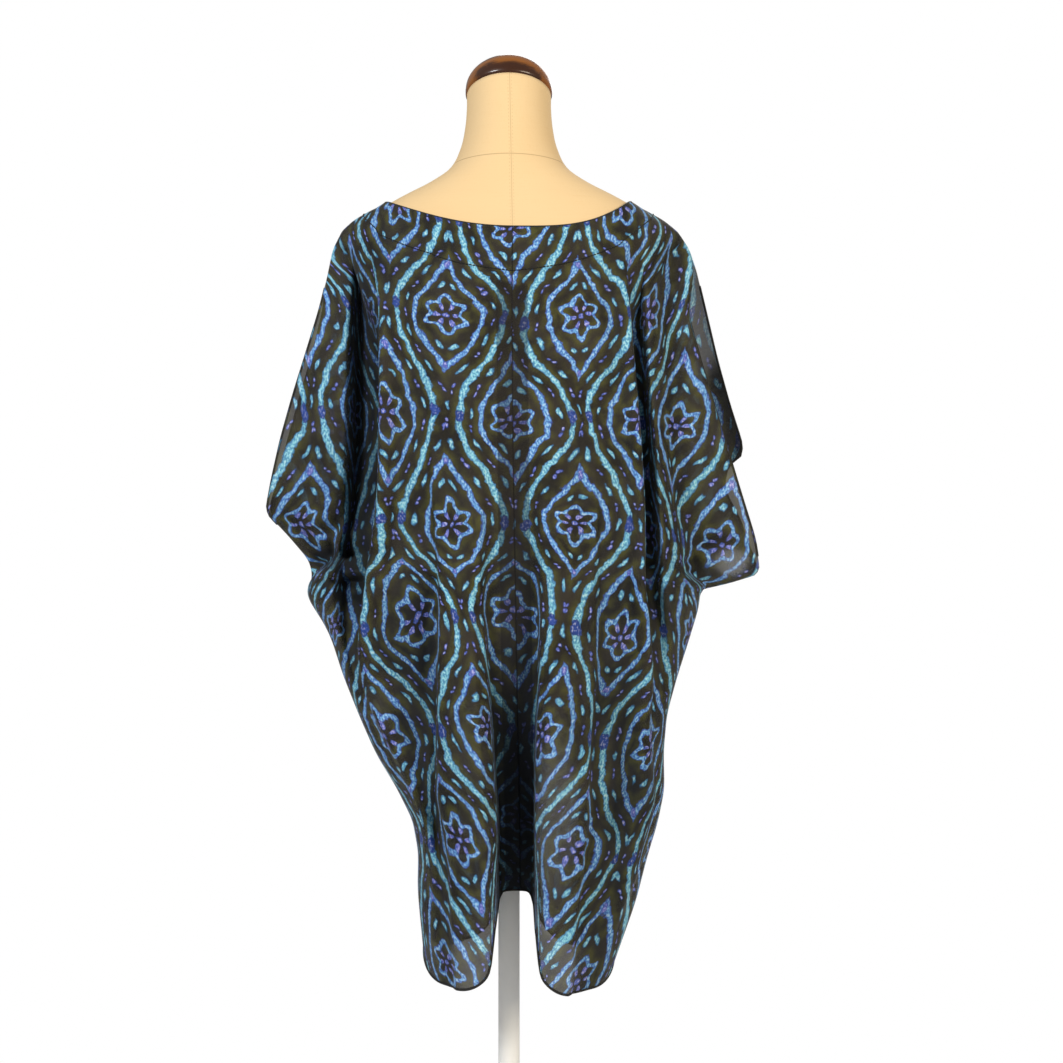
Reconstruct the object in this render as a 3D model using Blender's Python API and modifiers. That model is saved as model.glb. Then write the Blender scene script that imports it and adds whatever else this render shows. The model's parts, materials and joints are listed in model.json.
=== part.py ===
"""Kaftan on a dress form, with its back towards -Y.

A loose, short kaftan of thin cloth, cut as two back halves and two front halves with wide
sleeves in one piece with the body. It lies on the shoulders of a plain dress form, on a
pole with a round base. Metres, +Z up, with the origin on the floor under the pole's axis.
"""

import math
from collections import namedtuple

import bmesh
import bpy
from mathutils import Vector
from mathutils.bvhtree import BVHTree

# Cloth walls, and the least distance of the cloth from the dress form
WALL = 0.0012
FACING_WALL = 0.0010
SEAM_GAP = 0.0003
FACING_GAP = 0.0006
EASE = 0.0026
RESTS = 3
FORM_REACH = 0.05

# Shape of the drape. Pairs are the courses, or the heights, between which a change runs.
COLUMNS = 26
FACING_ROWS = 3
LAST_LINE_REACH = 0.955
FRONT_NECK_DROP = 0.026
FRONT_NECK_COURSES = (0, 8)
FRONT_HEM_RISE = 0.034
FRONT_HEM_COURSES = (19, 24)
OFF_SHOULDER_COURSES = (3, 5)
SHOULDER_EDGE_REACH = 0.9
SLEEVE_OPENS_COURSES = (2.5, 6)
SLEEVE_DEPTH = 0.022
SLEEVE_POWER = 3.0
BLEND_POWER = 3.0
BODY_POWER = 2.7
NECK_POWER = 2.0
BODY_POWER_HEIGHTS = (1.28, 1.15)

# Dress form
FORM_SIDES = 36
FORM_POWER = 2.3
SHOULDER_HEIGHT = 1.26
NECK_TILT = math.radians(21)
NECK_TILT_HEIGHTS = (1.39, 1.468)
MERGE = 0.00001

# Wooden cap
CAP_RADIUS = 0.0510
CAP_RIM = 0.0085
CAP_DOME = 0.036
CAP_RINGS = 7
CAP_SIDES = 32
CAP_EDGE = 0.001

# Stand
FIT = 0.0003
POLE_RADIUS = 0.0125
POLE_SIDES = 24
COLLAR_RADIUS = 0.021
COLLAR_HEIGHT = 0.045
FLANGE_RADIUS = 0.045
FLANGE_HEIGHT = 0.006
FLANGE_SLOPE = 0.004
BASE_RADIUS = 0.18
BASE_SIDES = 48
BASE_HEIGHT = 0.020
BASE_CROWN = (0.108, 0.017)
BASE_SHOULDER = (0.174, 0.010)
BASE_RIM = 0.006
SOCKET_RADIUS = 0.024
SOCKET_HEIGHT = 0.050
SOCKET_FOOT = 0.008
SOCKET_WALL = 0.005
EDGE = 0.003

BACK, FRONT = -1, 1
LEFT, RIGHT = -1, 1

# One row for each section through the dress form: half width, depth behind and before its axis.
Ring = namedtuple("Ring", "z half back front")
FORM_RINGS = [
    Ring(0.765, 0.146, 0.098, 0.092),
    Ring(0.770, 0.156, 0.107, 0.100),
    Ring(0.790, 0.163, 0.115, 0.104),
    Ring(0.850, 0.165, 0.118, 0.104),
    Ring(0.920, 0.149, 0.100, 0.094),
    Ring(0.990, 0.122, 0.081, 0.084),
    Ring(1.050, 0.130, 0.088, 0.097),
    Ring(1.110, 0.143, 0.098, 0.117),
    Ring(1.150, 0.150, 0.104, 0.123),
    Ring(1.200, 0.159, 0.108, 0.112),
    Ring(1.250, 0.173, 0.107, 0.094),
    Ring(1.280, 0.183, 0.101, 0.082),
    Ring(1.297, 0.187, 0.095, 0.075),
    Ring(1.312, 0.181, 0.088, 0.069),
    Ring(1.325, 0.165, 0.081, 0.065),
    Ring(1.341, 0.141, 0.074, 0.061),
    Ring(1.353, 0.119, 0.068, 0.058),
    Ring(1.365, 0.095, 0.064, 0.056),
    Ring(1.382, 0.070, 0.060, 0.053),
    Ring(1.406, 0.057, 0.055, 0.050),
    Ring(1.430, 0.0515, 0.051, 0.048),
    Ring(1.453, 0.0495, 0.0475, 0.0465),
    Ring(1.468, 0.0495, 0.0462, 0.0462),
]

# The hollow of the hanging cloth, before its folds. From the bust up it follows the form.
BODY_RINGS = [
    Ring(0.450, 0.110, 0.138, 0.124),
    Ring(0.600, 0.130, 0.138, 0.128),
    Ring(0.750, 0.178, 0.138, 0.132),
    Ring(0.900, 0.205, 0.136, 0.136),
    Ring(1.000, 0.190, 0.132, 0.138),
    Ring(1.100, 0.182, 0.127, 0.138),
    Ring(1.150, 0.180, 0.123, 0.134),
    Ring(1.200, 0.178, 0.118, 0.124),
    Ring(1.250, 0.178, 0.112, 0.100),
    Ring(1.280, 0.186, 0.104, 0.085),
    Ring(1.297, 0.190, 0.098, 0.078),
    Ring(1.312, 0.184, 0.091, 0.072),
    Ring(1.325, 0.168, 0.084, 0.068),
    Ring(1.341, 0.144, 0.077, 0.064),
    Ring(1.353, 0.122, 0.071, 0.061),
]

# One row for each course across the cloth, from the neckline to the hem. Widths are from the
# form's axis to the outer edge, which is shoulder seam, cuff, underarm seam and side seam in
# turn. The cuffs are open, and gap is how far each side of them stands from the seam line.
Course = namedtuple("Course", "place centre_z left_x left_z right_x right_front_x right_z gap")
COURSES = [
    Course("neckline", 1.300, 0.1455, 1.3405, 0.1435, 0.1435, 1.3415, 0.0),
    Course("shoulder", 1.286, 0.1630, 1.3325, 0.1620, 0.1620, 1.3325, 0.0),
    Course("shoulder", 1.270, 0.1810, 1.3225, 0.1810, 0.1810, 1.3220, 0.0),
    Course("shoulder", 1.254, 0.1960, 1.3090, 0.1990, 0.1990, 1.3075, 0.0),
    Course("sleeve head", 1.236, 0.2065, 1.2880, 0.2115, 0.2115, 1.2880, 0.0),
    Course("cuff top", 1.214, 0.2130, 1.2560, 0.2170, 0.2200, 1.2620, 0.0),
    Course("cuff", 1.180, 0.2205, 1.2150, 0.2073, 0.2333, 1.2150, 0.018),
    Course("cuff", 1.140, 0.2345, 1.1650, 0.2213, 0.2473, 1.1600, 0.027),
    Course("cuff", 1.100, 0.2495, 1.1150, 0.2363, 0.2623, 1.1080, 0.031),
    Course("cuff", 1.060, 0.2635, 1.0650, 0.2523, 0.2790, 1.0560, 0.031),
    Course("cuff", 1.020, 0.2745, 1.0200, 0.2683, 0.2650, 1.0050, 0.025),
    Course("cuff end", 0.985, 0.2835, 0.9800, 0.2873, 0.2800, 0.9480, 0.014),
    Course("underarm", 0.958, 0.2585, 0.9520, 0.2950, 0.2950, 0.9080, 0.0),
    Course("underarm", 0.934, 0.2355, 0.9250, 0.2570, 0.2570, 0.8965, 0.0),
    Course("underarm", 0.908, 0.2245, 0.8980, 0.2235, 0.2235, 0.8890, 0.0),
    Course("side", 0.880, 0.2225, 0.8660, 0.2203, 0.2203, 0.8660, 0.0),
    Course("side", 0.845, 0.2065, 0.8330, 0.2103, 0.2103, 0.8330, 0.0),
    Course("side", 0.800, 0.1925, 0.7900, 0.1963, 0.1963, 0.7900, 0.0),
    Course("side", 0.755, 0.1745, 0.7450, 0.1840, 0.1840, 0.7450, 0.0),
    Course("side", 0.710, 0.1545, 0.7000, 0.1800, 0.1800, 0.7000, 0.0),
    Course("side", 0.672, 0.1305, 0.6600, 0.1810, 0.1810, 0.6550, 0.0),
    Course("side", 0.640, 0.1115, 0.6220, 0.1730, 0.1730, 0.6150, 0.0),
    Course("side", 0.612, 0.1045, 0.5800, 0.1600, 0.1600, 0.5700, 0.0),
    Course("side", 0.582, 0.1055, 0.5300, 0.1480, 0.1480, 0.5200, 0.0),
    Course("hem", 0.543, 0.0985, 0.4515, 0.1225, 0.1225, 0.4470, 0.0),
]
LAST = len(COURSES) - 1
SIDE_SEAM = 14
HEM_STARTS = 17

# Rounded slot in the hem at the centre, and the round corners of the tails beside it
HEM_SLOT = 0.0245
HEM_SLOT_X = 0.0085
HEM_SLOT_POWER = 8
INNER_CORNER = 0.42
INNER_CORNER_SPAN = (2.6, 1.0)
INNER_CORNER_POWER = 2.0
OUTER_CORNER = 0.32
OUTER_CORNER_SPAN = (0.72, 1.0)
OUTER_CORNER_POWER = 2.4

# The centre seam wanders a little to the right on its way down.
SEAM_TOP_X = 0.005
SEAM_LOW_X = 0.014
SEAM_HEIGHTS = (1.20, 0.50)

# One row for each fold line down a half: the column it runs in, how far it runs from the
# form's axis at the key courses, and how far the cloth stands out there (minus is a valley).
KEY_COURSES = (0, 3, 6, 10, 14, 17, 20, 24)
Line = namedtuple("Line", "name column left right back_left back_right front")
LINES = [
    Line(
        "centre seam", 0,
        left=(0.0, 0.0, 0.0, 0.0, 0.0, 0.0, 0.0, 0.0),
        right=(0.0, 0.0, 0.0, 0.0, 0.0, 0.0, 0.0, 0.0),
        back_left=(0.0, 0.0, 0.0, -0.007, -0.012, -0.013, -0.054, -0.100),
        back_right=(0.0, 0.0, 0.0, -0.007, -0.012, -0.013, -0.054, -0.100),
        front=(0.0, 0.0, 0.0, -0.003, -0.008, -0.012, -0.032, -0.050),
    ),
    Line(
        "valley foot", 2,
        left=(0.012, 0.014, 0.015, 0.020, 0.022, 0.020, 0.019, 0.0215),
        right=(0.010, 0.012, 0.014, 0.018, 0.020, 0.017, 0.015, 0.0165),
        back_left=(0.0, 0.0, 0.0, -0.005, -0.010, -0.011, -0.050, -0.096),
        back_right=(0.0, 0.0, 0.0, -0.005, -0.010, -0.011, -0.050, -0.096),
        front=(0.0, 0.0, 0.0, -0.002, -0.007, -0.011, -0.030, -0.047),
    ),
    Line(
        "flute crest", 5,
        left=(0.040, 0.048, 0.050, 0.046, 0.040, 0.034, 0.031, 0.031),
        right=(0.040, 0.048, 0.050, 0.044, 0.038, 0.032, 0.028, 0.026),
        back_left=(0.0, 0.0, 0.0, 0.004, 0.010, 0.014, 0.016, 0.010),
        back_right=(0.0, 0.0, 0.0, 0.004, 0.010, 0.014, 0.016, 0.010),
        front=(0.0, 0.0, 0.0, 0.003, 0.007, 0.010, 0.012, 0.010),
    ),
    Line(
        "flute belly", 8,
        left=(0.066, 0.078, 0.084, 0.086, 0.086, 0.080, 0.064, 0.057),
        right=(0.066, 0.078, 0.086, 0.090, 0.090, 0.090, 0.082, 0.064),
        back_left=(0.0, 0.0, 0.0, 0.001, 0.004, 0.008, 0.013, 0.014),
        back_right=(0.0, 0.0, 0.0, 0.001, 0.004, 0.008, 0.014, 0.016),
        front=(0.0, 0.0, 0.0, 0.003, 0.008, 0.012, 0.014, 0.014),
    ),
    Line(
        "outer crease", 11,
        left=(0.090, 0.104, 0.112, 0.116, 0.120, 0.116, 0.090, 0.075),
        right=(0.090, 0.104, 0.110, 0.118, 0.124, 0.128, 0.124, 0.096),
        back_left=(0.0, 0.0, -0.002, -0.006, -0.009, -0.010, -0.016, -0.010),
        back_right=(0.0, 0.0, -0.002, -0.005, -0.007, -0.008, -0.010, -0.008),
        front=(0.0, 0.0, -0.002, -0.004, -0.006, -0.008, -0.008, -0.006),
    ),
    Line(
        "body ridge", 14,
        left=(0.112, 0.144, 0.142, 0.141, 0.156, 0.156, 0.108, 0.087),
        right=(0.112, 0.128, 0.135, 0.145, 0.149, 0.157, 0.158, 0.109),
        back_left=(0.0, 0.002, 0.010, 0.014, 0.012, 0.008, 0.004, 0.0),
        back_right=(0.0, 0.002, 0.008, 0.010, 0.010, 0.008, 0.006, 0.0),
        front=(0.0, 0.002, 0.006, 0.008, 0.008, 0.006, 0.004, 0.0),
    ),
    Line(
        "armhole valley", 17,
        left=(0.126, 0.160, 0.153, 0.153, 0.169, 0.168, 0.117, 0.092),
        right=(0.124, 0.138, 0.144, 0.154, 0.159, 0.168, 0.167, 0.114),
        back_left=(0.0, -0.004, -0.036, -0.048, -0.030, -0.010, -0.004, 0.0),
        back_right=(0.0, -0.004, -0.026, -0.036, -0.028, -0.012, -0.006, 0.0),
        front=(0.0, -0.003, -0.020, -0.028, -0.018, -0.008, -0.004, 0.0),
    ),
    Line(
        "sleeve", 20,
        left=(0.136, 0.176, 0.179, 0.184, 0.196, 0.179, 0.1235, 0.096),
        right=(0.134, 0.160, 0.157, 0.168, 0.180, 0.184, 0.175, 0.119),
        back_left=(0.0, 0.0, 0.003, 0.006, 0.004, 0.0, 0.0, 0.0),
        back_right=(0.0, 0.0, 0.005, 0.008, 0.004, 0.0, 0.0, 0.0),
        front=(0.0, 0.0, 0.003, 0.006, 0.004, 0.0, 0.0, 0.0),
    ),
]

CLOTH_COLOUR = (0.05, 0.055, 0.035)
FACING_COLOUR = (0.045, 0.04, 0.03)
LINEN_COLOUR = (0.87, 0.70, 0.45)
WOOD_COLOUR = (0.17, 0.05, 0.012)
PAINT_COLOUR = (0.80, 0.79, 0.76)


def smooth_between(keys, values, at):
    """Values on a smooth curve through a table whose keys rise."""
    if at <= keys[0]:
        return values[0]
    if at >= keys[-1]:
        return values[-1]
    i = max(k for k in range(len(keys) - 1) if keys[k] <= at)

    def slope(k):
        low, high = max(k - 1, 0), min(k + 1, len(keys) - 1)
        return (values[high] - values[low]) / (keys[high] - keys[low])

    span = keys[i + 1] - keys[i]
    q = (at - keys[i]) / span
    return (
        values[i] * (1 - q) ** 2 * (1 + 2 * q)
        + values[i + 1] * q * q * (3 - 2 * q)
        + span * q * (1 - q) * ((1 - q) * slope(i) - q * slope(i + 1))
    )


def column(table, name):
    return [getattr(row, name) for row in table]


def ring_size(table, name, z):
    return smooth_between(column(table, "z"), column(table, name), z)


def course_size(name, course):
    """A size of the cloth at a course, which may lie between two rows of the table."""
    low = min(int(course), LAST - 1)
    first, second = getattr(COURSES[low], name), getattr(COURSES[low + 1], name)
    return first + (second - first) * (course - low)


def straight_ramp(value, span):
    """0 before the span's start and 1 after its end, which may be the lower of the two."""
    start, end = span
    return min(max((value - start) / (end - start), 0.0), 1.0)


def ramp(value, span):
    """A straight ramp with soft ends."""
    q = straight_ramp(value, span)
    return q * q * (3 - 2 * q)


def arc(fraction, power):
    """The quarter of a rounded ring: 1 at its middle, 0 at its side."""
    return max(0.0, 1.0 - abs(fraction) ** power) ** (1.0 / power)


def seam_x(z):
    """Where the centre seam runs at a height."""
    return SEAM_TOP_X + (SEAM_LOW_X - SEAM_TOP_X) * ramp(z, SEAM_HEIGHTS)


def outer_edge(side, face, course):
    """The width and height of the cloth's outer edge."""
    if side == LEFT:
        return course_size("left_x", course), course_size("left_z", course)
    name = "right_front_x" if face == FRONT else "right_x"
    return course_size(name, course), course_size("right_z", course)


def centre_height(face, course):
    """The height of a course at the centre seam."""
    z = course_size("centre_z", course)
    if face == FRONT:
        z -= FRONT_NECK_DROP * (1 - ramp(course, FRONT_NECK_COURSES))
        z += FRONT_HEM_RISE * ramp(course, FRONT_HEM_COURSES)
    return z


def between_lines(side, face, across, course):
    """The width from the axis and the fold's depth, at a place between two fold lines."""
    widths_name = "left" if side == LEFT else "right"
    depths_name = "front" if face == FRONT else "back_" + widths_name

    def at_line(line, name):
        return smooth_between(KEY_COURSES, getattr(line, name), course)

    spot = across * COLUMNS
    last = LINES[-1]
    edge_x = outer_edge(side, face, course)[0]
    fit = min(1.0, LAST_LINE_REACH * edge_x / at_line(last, widths_name))
    if spot >= last.column:
        q = (spot - last.column) / (COLUMNS - last.column)
        last_width = at_line(last, widths_name) * fit
        width = last_width + (edge_x - last_width) * math.sin(q * math.pi / 2)
        return width, at_line(last, depths_name) * (1 - ramp(q, (0, 1)))
    k = max(i for i in range(len(LINES) - 1) if LINES[i].column <= spot)
    inner, outer = LINES[k], LINES[k + 1]
    q = (spot - inner.column) / (outer.column - inner.column)
    inner_width, outer_width = at_line(inner, widths_name), at_line(outer, widths_name)
    inner_depth, outer_depth = at_line(inner, depths_name), at_line(outer, depths_name)
    width = (inner_width + (outer_width - inner_width) * q) * fit
    return width, inner_depth + (outer_depth - inner_depth) * ramp(q, (0, 1))


def cloth_point(side, face, across, course):
    """A place on the inside of the cloth.

    across runs from 0 at the centre seam to 1 at the outer edge.
    """
    edge_x, edge_z = outer_edge(side, face, course)
    width, fold = between_lines(side, face, across, course)
    reach = width / edge_x
    middle = SEAM_LOW_X * (1 - reach)
    from_slot = abs(side * width + middle - HEM_SLOT_X) / HEM_SLOT
    inner = straight_ramp(from_slot, INNER_CORNER_SPAN)
    outer = straight_ramp(reach, OUTER_CORNER_SPAN)
    hem_rise = 1 - math.exp(-(from_slot**HEM_SLOT_POWER))
    hem_rise *= 1 - INNER_CORNER * (1 - arc(inner, INNER_CORNER_POWER))
    hem_rise *= 1 - OUTER_CORNER * (1 - arc(outer, OUTER_CORNER_POWER))
    lift = reach**2 + (hem_rise - reach**2) * ramp(course, (HEM_STARTS, LAST))
    low_z = centre_height(face, course)
    z = low_z + (edge_z - low_z) * lift

    half = ring_size(BODY_RINGS, "half", z)
    on_form = 1 - ramp(course, OFF_SHOULDER_COURSES)
    at_edge = ramp(reach, (SHOULDER_EDGE_REACH, 1.0))
    joined = max(ramp(course, (SIDE_SEAM - 1, SIDE_SEAM)), on_form * at_edge)
    half += (edge_x - half) * joined
    power = NECK_POWER + (BODY_POWER - NECK_POWER) * ramp(z, BODY_POWER_HEIGHTS)
    ring_depth = ring_size(BODY_RINGS, "back" if face == BACK else "front", z)
    body = ring_depth * arc(min(width / half, 1.0), power)

    gap = course_size("gap", course)
    opens = ramp(course, SLEEVE_OPENS_COURSES) * (1 - ramp(course, (SIDE_SEAM - 2, SIDE_SEAM)))
    sleeve = gap + SLEEVE_DEPTH * opens * arc(reach, SLEEVE_POWER)
    depth = (body**BLEND_POWER + sleeve**BLEND_POWER) ** (1 / BLEND_POWER)
    return Vector((side * width + seam_x(z) * (1 - reach), face * (depth + fold), z))


def push_off(tree, place):
    """How far and which way a place moves to lie no nearer to the dress form than it may."""
    near, normal, _, _ = tree.find_nearest(place)
    height = (place - near).dot(normal)
    if height < EASE and (place - near).length < FORM_REACH:
        return normal * (EASE - height)
    return Vector()


def rest_on_form(bm, tree):
    """Lift the cloth where a corner, or the middle of a face or an edge, is too near the form."""
    for _ in range(RESTS):
        for vert in bm.verts:
            vert.co += push_off(tree, vert.co)
        for face in bm.faces:
            push = push_off(tree, face.calc_center_median())
            for vert in face.verts:
                vert.co += push
        for edge in bm.edges:
            push = push_off(tree, (edge.verts[0].co + edge.verts[1].co) / 2)
            for vert in edge.verts:
                vert.co += push


def cloth_lattice(side, face, tree):
    """The panel's inside as rows of (place, outward) pairs, a row for each course."""
    bm = bmesh.new()
    rows = []
    for course in range(LAST + 1):
        places = [cloth_point(side, face, i / COLUMNS, course) for i in range(COLUMNS + 1)]
        rows.append([bm.verts.new(place) for place in places])
    for upper, lower in zip(rows, rows[1:]):
        for i in range(COLUMNS):
            corners = [upper[i], upper[i + 1], lower[i + 1], lower[i]]
            bm.faces.new(corners if side * face > 0 else corners[::-1])
    rest_on_form(bm, tree)
    bm.normal_update()
    lattice = []
    for course, row in enumerate(rows):
        places = [vert.co.copy() for vert in row]
        normals = [vert.normal.copy() for vert in row]
        places[0].x = seam_x(places[0].z) + side * SEAM_GAP / 2
        normals[0].x = 0.0
        if COURSES[course].gap == 0.0:
            places[-1].y = face * SEAM_GAP / 2
            normals[-1].y = 0.0
        pairs = [(place, normal.normalized()) for place, normal in zip(places, normals)]
        lattice.append(pairs[::side])
    bm.free()
    return lattice


def cloth_wall(name, lattice, inner, outer):
    """A closed wall over a lattice, from one distance off it to another.

    Each row of the lattice runs from left to right, so that neighbours fold along the same
    diagonals and lie flat on each other.
    """
    across, down = len(lattice[0]) - 1, len(lattice) - 1
    bm = bmesh.new()
    tag = bm.verts.layers.int.new("place")
    bmesh.ops.create_grid(bm, x_segments=across, y_segments=down, size=1.0)
    spots = []
    for number, vert in enumerate(bm.verts):
        vert[tag] = number
        spots.append((round((vert.co.y + 1) / 2 * down), round((vert.co.x + 1) / 2 * across)))
    bmesh.ops.triangulate(bm, faces=bm.faces, quad_method="FIXED")
    inside = set(bm.verts)
    sheet = bm.verts[:] + bm.edges[:] + bm.faces[:]
    bmesh.ops.extrude_face_region(bm, geom=sheet, use_keep_orig=True)
    for vert in bm.verts:
        row, place = spots[vert[tag]]
        point, outward = lattice[row][place]
        vert.co = point + outward * (inner if vert in inside else outer)
    bmesh.ops.recalc_face_normals(bm, faces=bm.faces)
    if bm.calc_volume(signed=True) < 0:
        bmesh.ops.reverse_faces(bm, faces=bm.faces)
    return mesh_object(name, bm)


def mesh_object(name, bm):
    mesh = bpy.data.meshes.new(name)
    bm.to_mesh(mesh)
    bm.free()
    return bpy.data.objects.new(name, mesh)


def finish_material(name, colour, roughness):
    material = bpy.data.materials.new(name)
    material.use_nodes = True
    shader = material.node_tree.nodes["Principled BSDF"]
    shader.inputs["Base Color"].default_value = (*colour, 1.0)
    shader.inputs["Roughness"].default_value = roughness
    return material


def add_part(collection, obj, colour, roughness):
    obj.data.materials.append(finish_material(obj.name + "_finish", colour, roughness))
    collection.objects.link(obj)
    return obj


def form_place(ring, turn):
    """A place on one section of the dress form, at an angle round its axis."""
    x, y = math.cos(turn), math.sin(turn)
    power = FORM_POWER if ring.z < SHOULDER_HEIGHT else 2.0
    reach = (abs(x) ** power + abs(y) ** power) ** (-1 / power)
    depth = ring.back if y < 0 else ring.front
    tilt = math.tan(NECK_TILT) * ramp(ring.z, NECK_TILT_HEIGHTS)
    place = Vector((ring.half * x * reach, depth * y * reach, ring.z))
    place.z -= place.y * tilt
    return place


def dress_form():
    """The torso and neck in one solid, a grid rolled round its sections."""
    bm = bmesh.new()
    rows = len(FORM_RINGS) - 1
    bmesh.ops.create_grid(bm, x_segments=FORM_SIDES, y_segments=rows, size=1.0)
    for vert in bm.verts:
        ring = FORM_RINGS[round((vert.co.y + 1) / 2 * rows)]
        vert.co = form_place(ring, math.pi * vert.co.x)
    bmesh.ops.remove_doubles(bm, verts=bm.verts, dist=MERGE)
    ends = [edge for edge in bm.edges if edge.is_boundary]
    bmesh.ops.holes_fill(bm, edges=ends, sides=FORM_SIDES)
    bmesh.ops.recalc_face_normals(bm, faces=bm.faces)
    obj = mesh_object("dress_form", bm)
    obj.data.shade_smooth()
    return obj


def turned(name, profile, sides):
    """A turned solid from (radius, height) points, from its top on the axis to its bottom."""
    bm = bmesh.new()
    verts = [bm.verts.new((radius, 0.0, height)) for radius, height in profile]
    for first, second in zip(verts, verts[1:]):
        bm.edges.new((first, second))
    obj = mesh_object(name, bm)
    screw = obj.modifiers.new("turn", "SCREW")
    screw.steps = sides
    screw.render_steps = sides
    screw.use_merge_vertices = True
    screw.merge_threshold = MERGE
    return obj


def neck_cap():
    """The wooden cap, a rim and a dome that lean forward with the neck."""
    profile = []
    for k in range(CAP_RINGS):
        turn = k * math.pi / 2 / CAP_RINGS
        profile.append((CAP_RADIUS * math.sin(turn), CAP_RIM + CAP_DOME * math.cos(turn)))
    profile += [
        (CAP_RADIUS, CAP_RIM),
        (CAP_RADIUS - CAP_EDGE, CAP_EDGE),
        (CAP_RADIUS - EDGE, 0.0),
        (0.0, 0.0),
    ]
    cap = turned("neck_cap", profile, CAP_SIDES)
    cap.rotation_euler.x = -NECK_TILT
    lean = Vector((0.0, math.sin(NECK_TILT), math.cos(NECK_TILT)))
    cap.location = Vector((0.0, 0.0, FORM_RINGS[-1].z)) + lean * FIT
    return cap


def stand_parts():
    """The base, its socket, the pole, and the collar that carries the dress form."""
    socket_low = BASE_HEIGHT + FIT
    socket_top = socket_low + SOCKET_HEIGHT
    flange_top = FORM_RINGS[0].z - FIT
    flange_low = flange_top - FLANGE_HEIGHT
    collar_low = flange_low - COLLAR_HEIGHT
    base = [
        (0.0, BASE_HEIGHT),
        (SOCKET_RADIUS, BASE_HEIGHT),
        BASE_CROWN,
        BASE_SHOULDER,
        (BASE_RADIUS, BASE_RIM),
        (BASE_RADIUS, 0.0),
        (0.0, 0.0),
    ]
    socket = [
        (0.0, socket_top),
        (POLE_RADIUS + SOCKET_WALL - EDGE / 2, socket_top),
        (POLE_RADIUS + SOCKET_WALL, socket_top - EDGE),
        (SOCKET_RADIUS, socket_low + SOCKET_FOOT),
        (SOCKET_RADIUS, socket_low),
        (0.0, socket_low),
    ]
    pole = [
        (0.0, collar_low - FIT),
        (POLE_RADIUS, collar_low - FIT),
        (POLE_RADIUS, socket_top + FIT),
        (0.0, socket_top + FIT),
    ]
    collar = [
        (0.0, flange_top),
        (FLANGE_RADIUS, flange_top),
        (FLANGE_RADIUS, flange_low),
        (COLLAR_RADIUS, flange_low - FLANGE_SLOPE),
        (COLLAR_RADIUS, collar_low + EDGE),
        (COLLAR_RADIUS - EDGE, collar_low),
        (0.0, collar_low),
    ]
    return [
        turned("stand_base", base, BASE_SIDES),
        turned("pole_socket", socket, POLE_SIDES),
        turned("stand_pole", pole, POLE_SIDES),
        turned("form_collar", collar, POLE_SIDES),
    ]


def neck_facing(name, left, right):
    """The strip behind the neckline, in one piece over the centre seam."""
    lattice = []
    for left_row, right_row in zip(left[: FACING_ROWS + 1], right[: FACING_ROWS + 1]):
        place, outward = left_row[-1]
        middle = Vector((place.x + SEAM_GAP / 2, place.y, place.z))
        lattice.append(left_row[:-1] + [(middle, outward)] + right_row[1:])
    return cloth_wall(name, lattice, -FACING_GAP - FACING_WALL, -FACING_GAP)


def main():
    for obj in list(bpy.data.objects):
        bpy.data.objects.remove(obj)
    collection = bpy.data.collections.new("kaftan_on_dress_form")
    bpy.context.scene.collection.children.link(collection)

    form = add_part(collection, dress_form(), LINEN_COLOUR, 0.9)
    add_part(collection, neck_cap(), WOOD_COLOUR, 0.25)
    for part in stand_parts():
        add_part(collection, part, PAINT_COLOUR, 0.5)

    corners = [vert.co for vert in form.data.vertices]
    faces = [polygon.vertices for polygon in form.data.polygons]
    tree = BVHTree.FromPolygons(corners, faces)
    for face, word in ((BACK, "back"), (FRONT, "front")):
        lattices = {side: cloth_lattice(side, face, tree) for side in (LEFT, RIGHT)}
        for side, hand in ((LEFT, "left"), (RIGHT, "right")):
            panel = cloth_wall(f"{word}_{hand}", lattices[side], 0.0, WALL)
            add_part(collection, panel, CLOTH_COLOUR, 0.8)
        facing = neck_facing(f"neck_facing_{word}", lattices[LEFT], lattices[RIGHT])
        add_part(collection, facing, FACING_COLOUR, 0.85)


main()
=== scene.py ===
"""The look of a printed kaftan on a dress form, seen from behind.

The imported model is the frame. The cloth, the form's cover, the cap and the stand are built
again at a finer grain in its place, with their creases, hems, seams and finishes.
"""

import json
import logging
import math
from bisect import bisect_right
from dataclasses import dataclass, field
from enum import Enum

import bmesh
import bpy
import numpy as np
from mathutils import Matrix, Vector, noise
from mathutils.bvhtree import BVHTree

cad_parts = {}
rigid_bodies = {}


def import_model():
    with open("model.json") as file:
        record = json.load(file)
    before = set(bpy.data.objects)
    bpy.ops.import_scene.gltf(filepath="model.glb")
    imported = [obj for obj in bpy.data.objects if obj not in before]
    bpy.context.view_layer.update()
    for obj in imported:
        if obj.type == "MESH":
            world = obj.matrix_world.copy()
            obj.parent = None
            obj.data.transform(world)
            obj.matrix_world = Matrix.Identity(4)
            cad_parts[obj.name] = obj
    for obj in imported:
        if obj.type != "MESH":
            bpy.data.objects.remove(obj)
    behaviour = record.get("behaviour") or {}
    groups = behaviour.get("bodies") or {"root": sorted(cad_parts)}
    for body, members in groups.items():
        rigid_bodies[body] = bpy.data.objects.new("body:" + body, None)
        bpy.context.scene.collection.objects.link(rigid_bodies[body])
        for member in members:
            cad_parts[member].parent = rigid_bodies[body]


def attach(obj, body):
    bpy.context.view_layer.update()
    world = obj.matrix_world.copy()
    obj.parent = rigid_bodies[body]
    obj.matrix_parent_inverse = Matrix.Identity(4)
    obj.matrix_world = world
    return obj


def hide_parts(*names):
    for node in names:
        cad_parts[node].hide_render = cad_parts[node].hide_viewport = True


for stray in list(bpy.data.objects):
    bpy.data.objects.remove(stray)
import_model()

LOG = logging.getLogger("kaftan")
BODY = "root"
SAME_PLACE = 0.00001


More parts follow.
